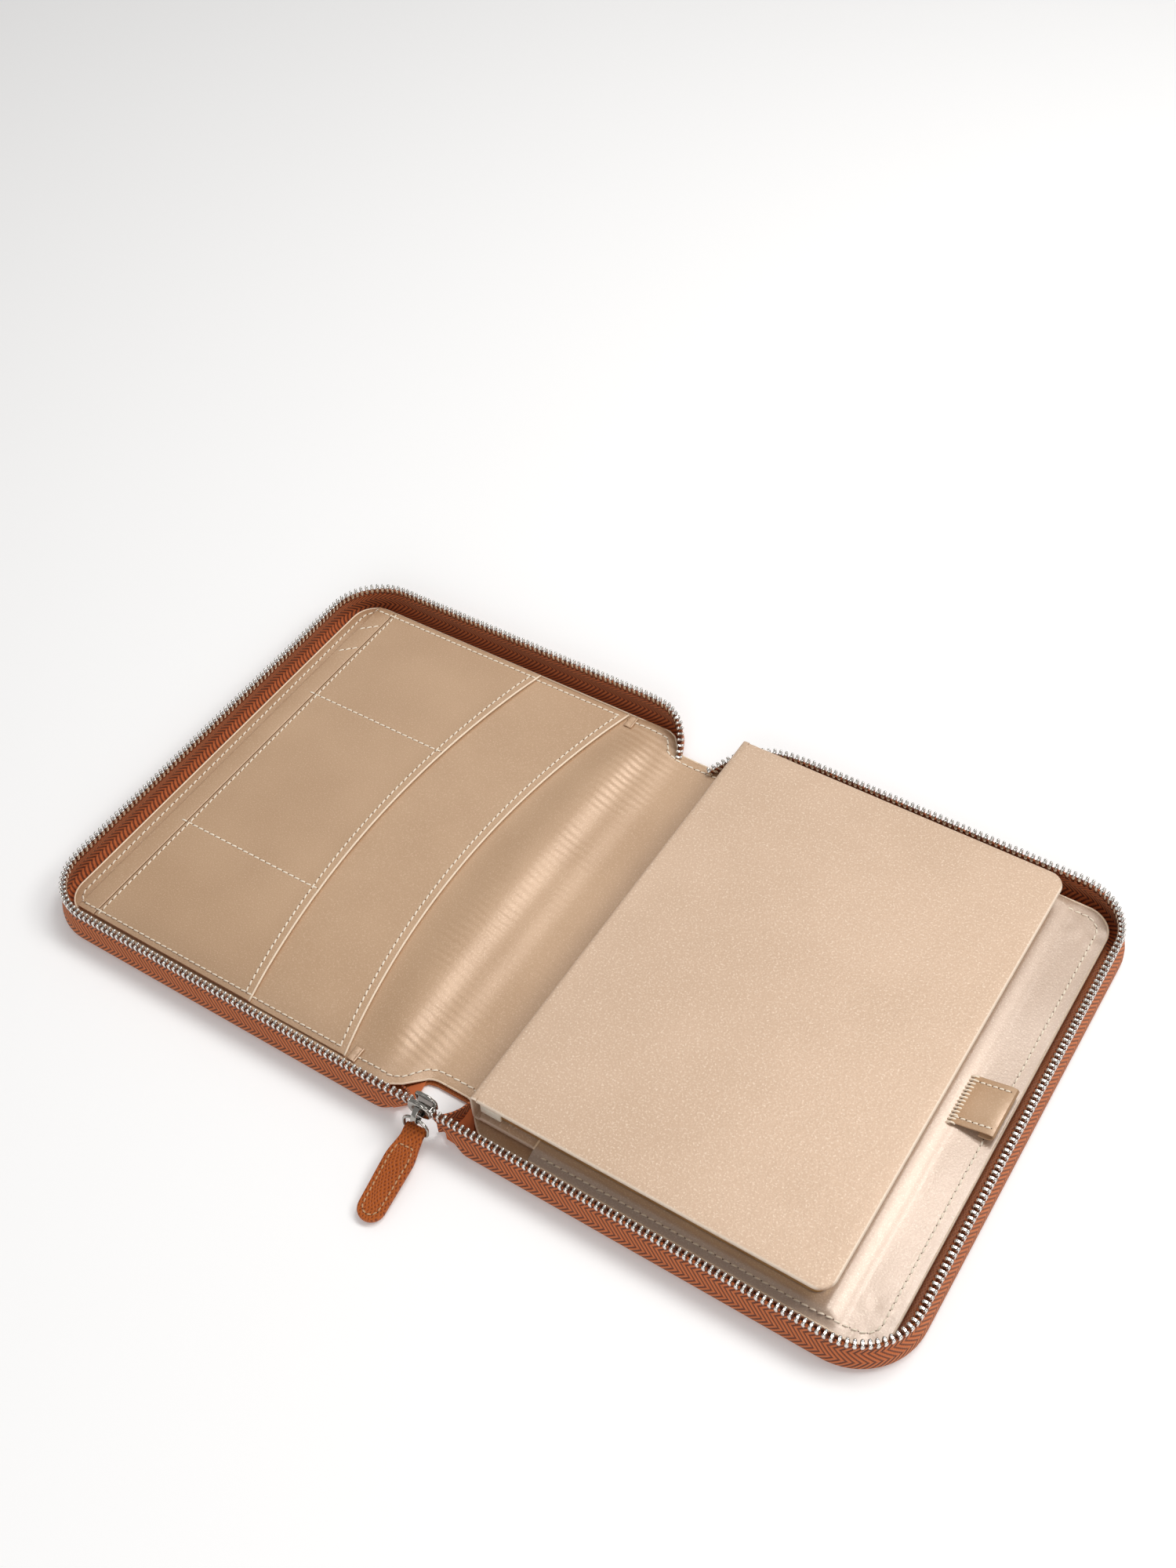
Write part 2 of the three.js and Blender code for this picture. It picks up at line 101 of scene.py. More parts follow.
class Finish:
    """A procedural material: its shader's fixed values are set here, and nodes feed the rest."""

    def __init__(self, name, colour, **fixed):
        self.material = bpy.data.materials.new(name)
        self.material.use_nodes = True
        self.tree = self.material.node_tree
        self.shader = self.tree.nodes["Principled BSDF"]
        self.shader.inputs["Base Color"].default_value = (*colour, 1)
        for socket, value in fixed.items():
            self.shader.inputs[self.label(socket)].default_value = value

    def label(self, socket):
        return socket.replace("_", " ").title().replace("Ior", "IOR")

    def node(self, kind, settings=None, sockets=None, out=0):
        made = self.tree.nodes.new(kind)
        for setting, value in (settings or {}).items():
            setattr(made, setting, value)
        for socket, value in (sockets or {}).items():
            if isinstance(value, Wire):
                self.tree.links.new(value.socket, made.inputs[socket])
            else:
                made.inputs[socket].default_value = value
        return Wire(self, made.outputs[out])

    def feed(self, **wires):
        for socket, wire in wires.items():
            self.tree.links.new(wire.socket, self.shader.inputs[self.label(socket)])
        return self

    def place(self):
        return self.node("ShaderNodeTexCoord", out="Object")

    def apart(self, where):
        """The first two coordinates of a place, as two wires."""
        first = self.node("ShaderNodeSeparateXYZ", None, {0: where})
        return first, Wire(self, first.socket.node.outputs[1])

    def sine(self, phase):
        return self.node("ShaderNodeMath", {"operation": "SINE"}, {0: phase})

    def noise(self, size, detail=2, where=None, roughness=0.5):
        """Soft noise from 0 to 1, with features of that size in metres."""
        return self.node("ShaderNodeTexNoise", None, {
            "Vector": where or self.place(), "Scale": 1 / size, "Detail": detail,
            "Roughness": roughness,
        })

    def mix(self, share, first, second):
        sockets = {0: share}
        for socket, colour in ((6, first), (7, second)):
            sockets[socket] = colour if isinstance(colour, Wire) else (*colour, 1)
        return self.node("ShaderNodeMix", {"data_type": "RGBA"}, sockets, out=2)

    def smooth(self, value, low, high, to_low=0, to_high=1):
        return self.node("ShaderNodeMapRange", {"interpolation_type": "SMOOTHSTEP"}, {
            0: value, 1: low, 2: high, 3: to_low, 4: to_high,
        })

    def bump(self, height, depth):
        """Relief of that depth in metres where height goes from 0 to 1."""
        return self.feed(Normal=self.node("ShaderNodeBump", None, {
            "Height": height, "Distance": depth, "Strength": 1.0,
        }))


floor_mesh = bpy.data.meshes.new("table")
floor_mesh.from_pydata([(-4, -4, 0), (4, -4, 0), (4, 4, 0), (-4, 4, 0)], [], [(0, 1, 2, 3)])
table = bpy.data.objects.new("table", floor_mesh)
table.location.z = -0.0003
scene.collection.objects.link(table)
table_top = Finish("table white", (0.96, 0.96, 0.965), roughness=0.9, specular_ior_level=0.1,
                   emission_color=(1, 1, 1, 1), emission_strength=0.07)
table.data.materials.append(table_top.material)

world = bpy.data.worlds.new("studio")
world.use_nodes = True
world.node_tree.nodes["Background"].inputs["Color"].default_value = (1.0, 0.99, 0.975, 1)
world.node_tree.nodes["Background"].inputs["Strength"].default_value = 0.36
scene.world = world


def softbox(name, place, aim, size, watts, colour=(1, 1, 1)):
    lamp = bpy.data.lights.new(name, "AREA")
    lamp.shape = "RECTANGLE"
    lamp.size, lamp.size_y = size
    lamp.energy = watts
    lamp.color = colour
    box = bpy.data.objects.new(name, lamp)
    scene.collection.objects.link(box)
    box.location = place
    towards = Vector(aim) - Vector(place)
    box.rotation_euler = towards.to_track_quat("-Z", "Y").to_euler()


softbox("key softbox", (0.75, 0.55, 1.15), (0, 0, 0), (0.6, 0.5), 8.0, (1, 0.985, 0.96))
softbox("gloss softbox", (0.08, 0.56, 1.35), (0, 0, 0), (0.45, 0.5), 6.7, (1, 0.995, 0.985))
softbox("back gloss", (-0.85, 0.85, 1.30), (-0.15, 0, 0), (0.4, 0.4), 0.8, (1, 0.985, 0.96))
softbox("front fill", (0.5, -1.35, 0.8), (0, 0, 0), (1.2, 0.9), 7.5)

# Outer leather of the two covers and the spine: one hide of cross-grained tan leather, turned
# round the boards and glued. Here it is cut along the middle of the spine into two parts. The
# notches at both ends of the spine let the zip's ends pass.
MM = 0.001
TURN = 2 * math.pi
BACK_FOLD = -89.25
FRONT_FOLD = -121.25
MID_SPINE = -105.25
BACK_EDGE = 89.25
FRONT_EDGE = -299.75
HALF = 111.0
CORNER = 22.0

tan = Finish("tan cross-grained leather", (0.45, 0.125, 0.027), roughness=0.42,
             specular_ior_level=0.4)


def cross_grain(finish, where, pitch, depth, light, dark):
    """Pressed diagonal lines both ways, as on calf leather, with slow changes of tone."""
    lengthwise, across = finish.apart(where)
    wander = finish.noise(pitch * 5, 2, where) * (pitch * 3)
    ridges = []
    for lean in (1, -1):
        phase = (lengthwise + across * (0.62 * lean) + wander) / pitch * TURN
        ridges.append(finish.sine(phase))
    weave = ridges[0].sum_with("MAXIMUM", ridges[0], ridges[1]) * 0.5 + 0.5
    grain = finish.noise(pitch * 0.9, 3, where)
    height = weave * 0.7 + grain * 0.5
    tone = finish.smooth(finish.noise(0.03, 3, where), 0.3, 0.7)
    pit = finish.smooth(height, 0.25, 0.85)
    finish.feed(
        Base_Color=finish.mix(pit * 0.75 + tone * 0.25, dark, light),
        Roughness=grain * 0.16 + 0.36,
    )
    finish.bump(height, depth)


cross_grain(tan, tan.place(), 0.0011, 0.00011, (0.50, 0.148, 0.033), (0.30, 0.068, 0.014))


def arc(cx, cy, radius, start, end, steps=14):
    angles = np.radians(np.linspace(start, end, steps))
    return [(cx + radius * math.cos(a), cy + radius * math.sin(a)) for a in angles]


def right_corners(edge, low, high, radius, steps=14):
    """The two rounded corners on an outline's right, the lower one first."""
    return (arc(edge - radius, low + radius, radius, -90, 0, steps)
            + arc(edge - radius, high - radius, radius, 0, 90, steps))


def unit(rows):
    return rows / np.linalg.norm(rows, axis=1)[:, None]


def fine(outline, spacing=2.0):
    """The outline with a point at least every spacing millimetres."""
    points = np.array(outline, float)
    out = []
    for here, there in zip(points, np.roll(points, -1, axis=0)):
        reach = np.linalg.norm(there - here)
        count = max(1, math.ceil(reach / spacing)) if reach > 1e-6 else 0
        out += [here + (there - here) * i / count for i in range(count)]
    return np.array(out)


def edge_distance(points, starts, ends):
    """Distance of each point to the nearest of the edges."""
    best = np.full(len(points), 1e9)
    for a, b in zip(starts, ends):
        run = b - a
        t = np.clip(((points - a) @ run) / max(run @ run, 1e-12), 0, 1)
        gap = points - (a + t[:, None] * run)
        best = np.minimum(best, np.hypot(gap[:, 0], gap[:, 1]))
    return best


def within(points, outline):
    x, y = points[:, 0], points[:, 1]
    inside = np.zeros(len(points), bool)
    for (x0, y0), (x1, y1) in zip(outline, np.roll(outline, -1, axis=0)):
        crosses = (y0 > y) != (y1 > y)
        slope = (x1 - x0) / ((y1 - y0) or 1e-12)
        inside ^= crosses & (x < (y - y0) * slope + x0)
    return inside


def new_piece(name, points, faces, finish, smooth_angle=40, uvs=None, place=None):
    """A mesh from millimetre points, with a finish and optional lengthwise coordinates."""
    mesh = bpy.data.meshes.new(name)
    faces = [list(map(int, face)) for face in faces]
    mesh.from_pydata((np.array(points, float) * MM).tolist(), [], faces)
    if place is not None:
        mesh.transform(place)
    if uvs is not None:
        layer = mesh.uv_layers.new(name="Run")
        corners = np.zeros(len(mesh.loops), int)
        mesh.loops.foreach_get("vertex_index", corners)
        layer.data.foreach_set("uv", (np.array(uvs, float)[corners] * MM).ravel())
    mesh.materials.append(finish.material)
    mesh.shade_smooth()
    mesh.set_sharp_from_angle(angle=math.radians(smooth_angle))
    piece = bpy.data.objects.new(name, mesh)
    scene.collection.objects.link(piece)
    return piece


def sheet(name, outline, top, thick, finish, step=4.0, turn=None, square=None, place=None):
    """A sheet over a flat outline, counter-clockwise, with its top at the height top(x, y).
    Its edges are rounded, apart from those that square(x, y) names."""
    turn = thick / 2 if turn is None else turn
    outline = fine(outline)
    ahead = unit(np.roll(outline, -1, axis=0) - outline)
    inward = np.stack([-ahead[:, 1], ahead[:, 0]], axis=1)
    before = np.roll(inward, 1, axis=0)
    corner = (inward + before) / (1 + (inward * before).sum(1))[:, None].clip(0.4)
    rings = [outline] + [outline + corner * turn * share for share in (0.1, 0.35, 0.7, 1.15)]
    low, high = outline.min(0), outline.max(0)
    across, along = np.meshgrid(
        np.linspace(low[0], high[0], max(2, round((high[0] - low[0]) / step)) + 1),
        np.linspace(low[1], high[1], max(2, round((high[1] - low[1]) / step)) + 1),
    )
    lattice = np.stack([across.ravel(), along.ravel()], axis=1)
    lattice = lattice[within(lattice, outline)]
    starts, ends = outline, np.roll(outline, -1, axis=0)
    lattice = lattice[edge_distance(lattice, starts, ends) > turn * 1.15 + 0.35 * min(step, 2)]
    flat = [Vector(p) for p in np.vstack(rings + [lattice])]
    face = [list(range(len(outline)))]
    points, _, faces, *_ = delaunay_2d_cdt(flat, [], face, 1, 1e-5)
    points = np.array([(p.x, p.y) for p in points])
    if square is not None:
        middle = (starts + ends) / 2
        kept = ~np.array([square(x, y) for x, y in middle])
        starts, ends = starts[kept], ends[kept]
    depth = np.clip(edge_distance(points, starts, ends) / turn, 0, 1)
    half = thick / 2 * np.maximum(0.12, np.sqrt(1 - (1 - depth) ** 2))
    middle = top(points[:, 0], points[:, 1]) - thick / 2
    count = len(points)
    solid = [(x, y, z + h) for (x, y), z, h in zip(points, middle, half)]
    solid += [(x, y, z - h) for (x, y), z, h in zip(points, middle, half)]
    skin = [list(f) for f in faces] + [[v + count for v in reversed(f)] for f in faces]
    edges = {(a, b): True for f in faces for a, b in zip(f, f[1:] + f[:1])}
    skin += [(b, a, a + count, b + count) for a, b in edges if (b, a) not in edges]
    return new_piece(name, solid, skin, finish, place=place)


def level_at(height):
    return lambda x, y: np.full(np.shape(x), float(height))


def ramp(value, low, high):
    t = np.clip((value - low) / (high - low), 0, 1)
    return t * t * (3 - 2 * t)


HEM_FRONT = -95.0
HEM_BACK = 98.2


def back_outline(half, edge, corner, hem=0.0):
    """From the middle of the spine round the back cover, counter-clockwise."""
    return [
        (MID_SPINE, HEM_BACK + hem), (MID_SPINE, HEM_FRONT - hem),
        (BACK_FOLD - 5.5, HEM_FRONT - hem), (BACK_FOLD - 2.5, HEM_FRONT - 1.2 - hem),
        (BACK_FOLD + 3.5, -half + 4), (BACK_FOLD + 8, -half),
        *right_corners(edge, -half, half, corner),
        (BACK_FOLD + 8, half), (BACK_FOLD + 3.5, half - 3.5),
        (BACK_FOLD - 2.5, HEM_BACK + 1.2 + hem), (BACK_FOLD - 5.5, HEM_BACK + hem),
    ]


def front_outline(half, edge, corner, hem=0.0):
    """From the middle of the spine round the front cover, counter-clockwise."""
    return [
        (MID_SPINE, HEM_FRONT - hem), (MID_SPINE, HEM_BACK + hem),
        (FRONT_FOLD + 7.5, HEM_BACK + hem), (FRONT_FOLD + 4.5, HEM_BACK + 1.4 + hem),
        (FRONT_FOLD - 0.5, half - 1.5), (FRONT_FOLD - 4, half),
        *arc(edge + corner, half - corner, corner, 90, 180),
        *arc(edge + corner, -half + corner, corner, 180, 270),
        (FRONT_FOLD - 4, -half), (FRONT_FOLD + 1.5, -half + 3.5),
        (FRONT_FOLD + 9, HEM_FRONT - 0.8 - hem), (FRONT_FOLD + 12.5, HEM_FRONT - hem),
    ]


def at_mid_spine(x, y):
    return abs(x - MID_SPINE) < 0.01


def bends():
    """Gives a function that bakes a piece's placement into its mesh; it does not bend the piece."""
    return lambda piece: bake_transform(piece)


over_back_fold = bends()
over_front_fold = bends()


def fitted(piece, carrier, slot, *nodes):
    """The piece rides on a body or has its placement baked in, and stands for these nodes of the
    CAD.
    """
    if isinstance(carrier, str):
        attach(piece, carrier)
    else:
        carrier(piece)
    if nodes:
        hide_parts(*nodes)


HIDE = 1.15
TURN_IN = 1.6
for name, outline, over_fold, nodes in (
    ("back_cover_hide", back_outline(HALF, BACK_EDGE, CORNER, TURN_IN), over_back_fold,
     ["back_cover_leather"]),
    ("front_cover_hide", front_outline(HALF, FRONT_EDGE, CORNER, TURN_IN), over_front_fold,
     ["front_cover_leather", "spine_leather"]),
):
    hide = sheet(name, outline, level_at(HIDE), HIDE, tan, step=5, square=at_mid_spine)
    fitted(hide, over_fold, "tan_leather", *nodes)

# Boards and spine stiffener: grey pulp board, cut to shape and glued between hide and lining.
# They show only where the case is open to view at its notches.
def flecked(finish, size, detail, dark, light, depth):
    """Fine flecks between two tones, with a little relief."""
    flecks = finish.noise(size, detail)
    finish.feed(Base_Color=finish.mix(flecks, dark, light))
    finish.bump(flecks, depth)


grey_board = Finish("grey pulp board", (0.27, 0.23, 0.19), roughness=0.9)
flecked(grey_board, 0.0012, 5, (0.20, 0.17, 0.14), (0.36, 0.32, 0.27), 0.0001)
for node in ("back_board", "front_board", "spine_stiffener"):
    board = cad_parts[node]
    board.data.materials.clear()
    board.data.materials.append(grey_board.material)

# Zip tapes: herringbone tape woven from rust polyester, sewn between hide and board. It stands
# up round each cover, bellies out over the hide's edge, and is cut aslant at both of its ends.
TEETH_LINE = 113.0
TEETH_CORNER = 24.0
TAPE_TOP = 14.1
TAPE_FOOT = 1.25
TEETH_LEVEL = 15.3
TAPE_BELOW_TEETH = 1.2
PITCH = 2.6

rust_tape = Finish("rust herringbone tape", (0.32, 0.072, 0.022), roughness=0.78,
                   sheen_weight=0.35, sheen_roughness=0.5, sheen_tint=(0.9, 0.5, 0.3, 1))
TWILL = 0.00122
PICK = 0.00045
HERRINGBONE = 0.0043
lengthwise, down = rust_tape.apart(rust_tape.node("ShaderNodeUVMap", {"uv_map": "Run"}))
down = down + 0.0006
column = rust_tape.node("ShaderNodeMath", {"operation": "PINGPONG"}, {0: down, 1: HERRINGBONE})
twill = rust_tape.sine((column * 0.6 + lengthwise * 0.55) * (TURN / TWILL)) * 0.5 + 0.5
picks = rust_tape.sine(lengthwise * (TURN / PICK)) * 0.5 + 0.5
worn = rust_tape.noise(0.012, 3)
yarn = twill * 0.8 + picks * 0.2
stripe = (down / (2 * HERRINGBONE)) % 1 > 0.5
shade = rust_tape.smooth(yarn, 0.2, 0.7) * (worn * 0.4 + 0.72) + stripe * 0.14
rust_tape.feed(Base_Color=rust_tape.mix(shade, (0.085, 0.014, 0.004), (0.58, 0.140, 0.034)))
rust_tape.bump(yarn, 0.00032)


BACK_ROW_START = -97.0


def zip_line(half_name):
    """The line of the teeth round one half of the case, in mm."""
    corner = TEETH_CORNER
    side = TEETH_LINE - corner
    if half_name == "back":
        right = BACK_EDGE + 2
        flat = [(x, -TEETH_LINE) for x in np.arange(BACK_ROW_START, right - corner, PITCH)]
        flat += arc(right - corner, -side, corner, -90, 0, 16)
        flat += [(right, y) for y in np.arange(-side, side, PITCH)]
        flat += arc(right - corner, side, corner, 0, 90, 16)
        flat += [(x, TEETH_LINE) for x in np.arange(right - corner, -60, -PITCH)]
        heights = [TEETH_LEVEL] * len(flat)
        flat += [(-68, 112.3), (-75, 110.8), (-81, 108.2), (-86, 104.9), (-90.5, 101.2),
                 (-94.5, 97.9), (-98, 95)]
        heights += [15.25, 15.0, 14.4, 13.0, 10.8, 7.8, 4.6]
    else:
        left = FRONT_EDGE - 2
        flat = [(-114.5, 96.6), (-115.3, 99.0), (-116.8, 102.2), (-119.3, 105.8),
                (-123.6, 109.2), (-129, 111.6), (-135.5, 112.7)]
        heights = [3.4, 6.6, 10.2, 13.0, 14.6, 15.2, 15.3]
        flat += [(x, TEETH_LINE) for x in np.arange(-141, left + corner, -PITCH)]
        flat += arc(left + corner, side, corner, 90, 180, 16)
        flat += [(left, y) for y in np.arange(side, -side, -PITCH)]
        flat += arc(left + corner, -side, corner, 180, 270, 16)
        flat += [(x, -TEETH_LINE) for x in np.arange(left + corner, -122.3, PITCH)]
        heights += [TEETH_LEVEL] * (len(flat) - len(heights))
    return np.column_stack([np.array(flat, float), heights])


def run_length(line):
    """How far along the line each of its points lies."""
    return np.concatenate([[0], np.cumsum(np.linalg.norm(np.diff(line, axis=0), axis=1))])


def even(points, spacing):
    """The same line with evenly spaced points."""
    points = np.array(points, float)
    points = points[np.diff(run_length(points), prepend=-1) > 1e-6]
    at = run_length(points)
    marks = np.linspace(0, at[-1], max(2, round(at[-1] / spacing) + 1))
    return np.column_stack([np.interp(marks, at, points[:, i]) for i in range(points.shape[1])])


# The tape's section, from the teeth down: share of its height, belly outward, turn inward.
TAPE_PROFILE = [
    (0.0, 0.0, 0.0), (0.14, 0.10, 0.0), (0.30, 0.30, 0.0), (0.46, 0.56, 0.0), (0.62, 0.80, 0.0),
    (0.78, 0.96, 0.0), (0.90, 1.0, 0.0), (0.98, 0.86, 0.0), (1.035, 0.45, 0.1),
    (1.02, 0.1, 0.45), (0.98, 0.0, 1.0),
]


def tape_wall(name, line, drop, foot, belly=2.9, thick=0.8):
    """A wall of tape that hangs from the line of the teeth, inward being left of the run. drop
    is its height at each point and foot is how far inward its lower edge lies."""
    ahead = np.gradient(line, axis=0)
    inward = unit(np.column_stack([-ahead[:, 1], ahead[:, 0]]))
    samples = len(TAPE_PROFILE)
    points, uvs = [], []
    for (x, y, z), (ix, iy), d, f, u in zip(line, inward, drop, foot, run_length(line)):
        base = z - TAPE_BELOW_TEETH
        swell = belly * min(1.0, d / 12.0) ** 1.5
        ring = [(f * tuck - swell * out, base - d * share, d * share + 3 * tuck)
                for share, out, tuck in TAPE_PROFILE]
        for face, order, shift in ((-thick / 2, ring, 0), (thick / 2, ring[::-1], 0.4)):
            for offset, height, v in order:
                points.append((x + ix * (offset + face), y + iy * (offset + face), height))
                uvs.append((u, v + shift))
    around = 2 * samples
    faces = []
    for i in range(len(line) - 1):
        for j in range(around):
            a, b = i * around + j, i * around + (j + 1) % around
            faces.append((a, b, b + around, a + around))
    last = (len(line) - 1) * around
    for j in range(samples - 1):
        cap = (j + 1, j, around - 1 - j, around - 2 - j)
        faces += [cap, tuple(last + k for k in reversed(cap))]
    return new_piece(name, points, faces, rust_tape, uvs=uvs, smooth_angle=50)


zip_lines = {name: even(zip_line(name), PITCH) for name in ("back", "front")}
# Each row's curled end beside the spine is a piece of its own, with its placement baked in.
over_bridge = bends()
ENDS = {"back": bends(), "front": over_bridge}


def is_end(name, line):
    beside = line[:, 0] < BACK_FOLD + 3.5 if name == "back" else line[:, 0] > FRONT_FOLD - 0.6
    return beside & (line[:, 1] > 0)


for name, line in zip_lines.items():
    dense = even(line, 1.6)
    drop = np.full(len(dense), TAPE_TOP - TAPE_FOOT)
    length = run_length(dense)
    if name == "back":
        slant = np.clip((dense[:, 0] - BACK_ROW_START) / 15.5, 0, 1)
        drop = np.where(length < 30, 2.6 + (drop - 2.6) * slant, drop)
        drop = drop * (0.36 + 0.64 * ramp(length[-1] - length, 6, 34))
    else:
        drop = drop * (0.40 + 0.60 * ramp(length, 4, 26))
    drop = np.maximum(np.minimum(drop, dense[:, 2] - TAPE_BELOW_TEETH - TAPE_FOOT), 1.5)
    foot = 3.1 * drop / drop.max()
    end = is_end(name, dense)
    shared = np.roll(end, 1 if name == "front" else -1)
    main, curled = ~end, end | shared
    tape = tape_wall(f"{name}_tape", dense[main], drop[main], foot[main])
    fitted(tape, f"{name}_half", "zip_tape", f"{name}_zip_tape")
    tape_end = tape_wall(f"{name}_tape_end", dense[curled], drop[curled], foot[curled])
    fitted(tape_end, ENDS[name], "zip_tape")

# Zip teeth: nickel-plated teeth clamped one by one on each tape's corded edge. Each has two
# legs that grip the tape and a head with a bead on either side.
nickel = Finish("polished nickel", (0.74, 0.72, 0.69), metallic=1.0, roughness=0.17)
scuffs = nickel.noise(0.0015, 3)
nickel.feed(Roughness=scuffs * 0.14 + 0.10)
nickel.bump(scuffs, 0.00001)
# The same polished nickel with a darker colour, for the slider and the ring: a painted reflection
# of darker surroundings.
nickel_painted_dark_reflection = Finish("polished nickel with painted dark reflection", (0.40, 0.38, 0.355), metallic=1.0, roughness=0.15)
rubbed = nickel_painted_dark_reflection.noise(0.002, 3)
nickel_painted_dark_reflection.feed(
    Base_Color=nickel_painted_dark_reflection.mix(rubbed, (0.30, 0.285, 0.26), (0.50, 0.48, 0.45)),
    Roughness=rubbed * 0.12 + 0.08,
)


def circle(count):
    """Points round a circle of radius 1."""
    return [(math.cos(a), math.sin(a)) for a in np.linspace(0, TURN, count, endpoint=False)]


def loft(rings):
    """A closed solid through rings of equally many points."""
    count = len(rings[0])
    points = [tuple(p) for ring in rings for p in ring]
    faces = []
    for i in range(len(rings) - 1):
        for j in range(count):
            a, b = i * count + j, i * count + (j + 1) % count
            faces.append((a, b, b + count, a + count))
    faces.append(tuple(reversed(range(count))))
    faces.append(tuple(range(len(points) - count, len(points))))
    return points, faces


def joined(solids):
    points, faces = [], []
    for more, skin in solids:
        start = len(points)
        points += list(more)
        faces += [tuple(v + start for v in f) for f in skin]
    return points, faces


def bead(y, z, radius):
    rings = []
    for tilt in np.radians([-75, -40, 0, 40, 75]):
        wide = radius * math.cos(tilt)
        rings.append([(wide * c, y + wide * s, z + radius * math.sin(tilt)) for c, s in circle(8)])
    return loft(rings)


def bar(stations):
    """A soft-edged bar through stations of (centre, half width along x, half depth along y)."""
    return loft([[(x + width * math.cos(a) * 1.08, y + depth * math.sin(a) * 1.08, z)
                  for a in np.radians(np.arange(22.5, 360, 45))]
                 for (x, y, z), width, depth in stations])


def zip_tooth():
    """One tooth: x along the tape, y across it and z up, from the middle of its head."""
    parts = [bead(side * 0.92, 0.55, 0.76) for side in (1, -1)]
    parts.append(bar([((0, 0, -0.6), 0.6, 1.0), ((0, 0, 0.3), 0.62, 1.1),
                      ((0, 0, 0.95), 0.4, 0.8)]))
    for side in (1, -1):
        parts.append(bar([
            ((0, side * 0.60, -3.3), 0.4, 0.22), ((0, side * 0.72, -3.05), 0.62, 0.36),
            ((0, side * 0.98, -1.3), 0.72, 0.42), ((0, side * 1.12, 0.2), 0.7, 0.44),
            ((0, side * 1.0, 0.7), 0.5, 0.3),
        ]))
    return joined(parts)


def along(line, shape):
    """Copies of a shape at each point of a line, standing square to it."""
    points, faces = (np.array(shape[0], float), shape[1])
    copies = []
    for spot, run in zip(line, unit(np.gradient(line, axis=0))):
        up = np.array([0, 0, 1.0]) - run[2] * run
        up /= np.linalg.norm(up)
        side = np.cross(up, run)
        copies.append((spot + points @ np.array([run, side, up]), faces))
    return joined(copies)


def teeth(name, line, carrier, *nodes):
    row = new_piece(name, *along(line, zip_tooth()), nickel)
    fitted(row, carrier, "nickel", *nodes)


FRONT_BRIDGE = even([(-121.6, -TEETH_LINE, TEETH_LEVEL), (-116, -TEETH_LINE, TEETH_LEVEL),
                     (-111, -112.8, 15.6), (-107.4, -112.7, 16.1)], PITCH)
for name, line in zip_lines.items():
    end = is_end(name, line)
    teeth(f"{name}_teeth", line[~end], f"{name}_half", f"{name}_zip_teeth", f"{name}_top_stop")
    teeth(f"{name}_end_teeth", line[end], ENDS[name])

teeth("front_bridge_teeth", FRONT_BRIDGE, over_bridge)
bridge_line = even([(-124.4, -TEETH_LINE, TEETH_LEVEL), *FRONT_BRIDGE], 1.2)
bridge_drop = 12.6 - 9.6 * ramp(bridge_line[:, 0], -124.0, -106.5)
bridge = tape_wall("front_tape_bridge", bridge_line, bridge_drop, 3.1 * bridge_drop / 12.85)
fitted(bridge, over_bridge, "zip_tape")

# Each tape's end is turned in beside the spine and sewn under the hem.
turned_ends = {
    "back_tape_turn": [(-96.8, -112.4, 14.2), (-94.6, -110.6, 13.6), (-92.8, -107.2, 12.0),
                       (-92.0, -102.5, 9.2), (-92.2, -97.6, 6.4)],
    "front_tape_turn": [(-119.6, -104.4, 4.6), (-117.0, -105.2, 6.0), (-114.0, -106.8, 8.6),
                        (-111.0, -109.4, 11.6), (-108.4, -111.6, 13.8)],
}
for name, path in turned_ends.items():
    path = even(path, 1.2)
    tall = np.maximum(path[:, 2] - TAPE_BELOW_TEETH - 1.5, 1.0)
    if name.startswith("front"):
        tall = tall * (1 - 0.62 * ramp(path[:, 0], -117, -108))
    turned = tape_wall(name, path, tall, np.full(len(path), 0.6), belly=0.4)
    fitted(turned, ENDS[name.split("_")[0]], "zip_tape")

# Below them, the rest of each end lies folded flat against the hide's cut edge.
for name, folded in {
    "back_tape_fold": [(-94.2, -96.0), (-94.6, -104.0), (-95.2, -110.5), (-92.0, -113.6),
                       (-82.0, -114.2), (-79.5, -110.0), (-84.5, -106.0), (-88.5, -99.5),
                       (-90.5, -96.5)],
    "front_tape_fold": [(-124.5, -109.5), (-124.0, -113.6), (-117.5, -113.2), (-112.6, -108.8),
                        (-112.4, -103.0), (-113.4, -97.2), (-117.5, -102.0), (-121.0, -107.2)],
}.items():
    fold = sheet(name, folded, level_at(2.0), 0.7, rust_tape, step=2)
    fitted(fold, ENDS[name.split("_")[0]], "zip_tape")

# Slider: die-cast nickel plates either side of the two rows, with flanges that guide the
# teeth, a wedge between the rows, and a bail on the outer plate for the ring.
SLIDER = (-101.55, -113.0, 17.0)


def ribbon(name, profile, thick, low, high, finish, across="y"):
    """A strap of constant thickness that follows a profile, from low to high across it."""
    line = np.array(profile, float)
    ahead = np.gradient(line, axis=0)
    square = unit(np.column_stack([-ahead[:, 1], ahead[:, 0]]))
    rings = []
    edge = thick * 0.3
    for at, half in ((low, 0.55), (low + edge * 0.4, 0.85), (low + edge, 1.0),
                     (high - edge, 1.0), (high - edge * 0.4, 0.85), (high, 0.55)):
        side = square * thick / 2 * half
        loop = np.vstack([line + side, (line - side)[::-1]])
        if across == "y":
            rings.append([(x, at, z) for x, z in loop])
        else:
            rings.append([(at, y, z) for y, z in loop][::-1])
    points, faces = loft(rings)
    faces = [f for f in faces if len(f) == 4]
    count, last = len(line), len(rings) - 1
    for i in range(count - 1):
        cap = (i, i + 1, 2 * count - 2 - i, 2 * count - 1 - i)
        faces += [cap, tuple(v + last * 2 * count for v in reversed(cap))]
    return new_piece(name, points, faces, finish)


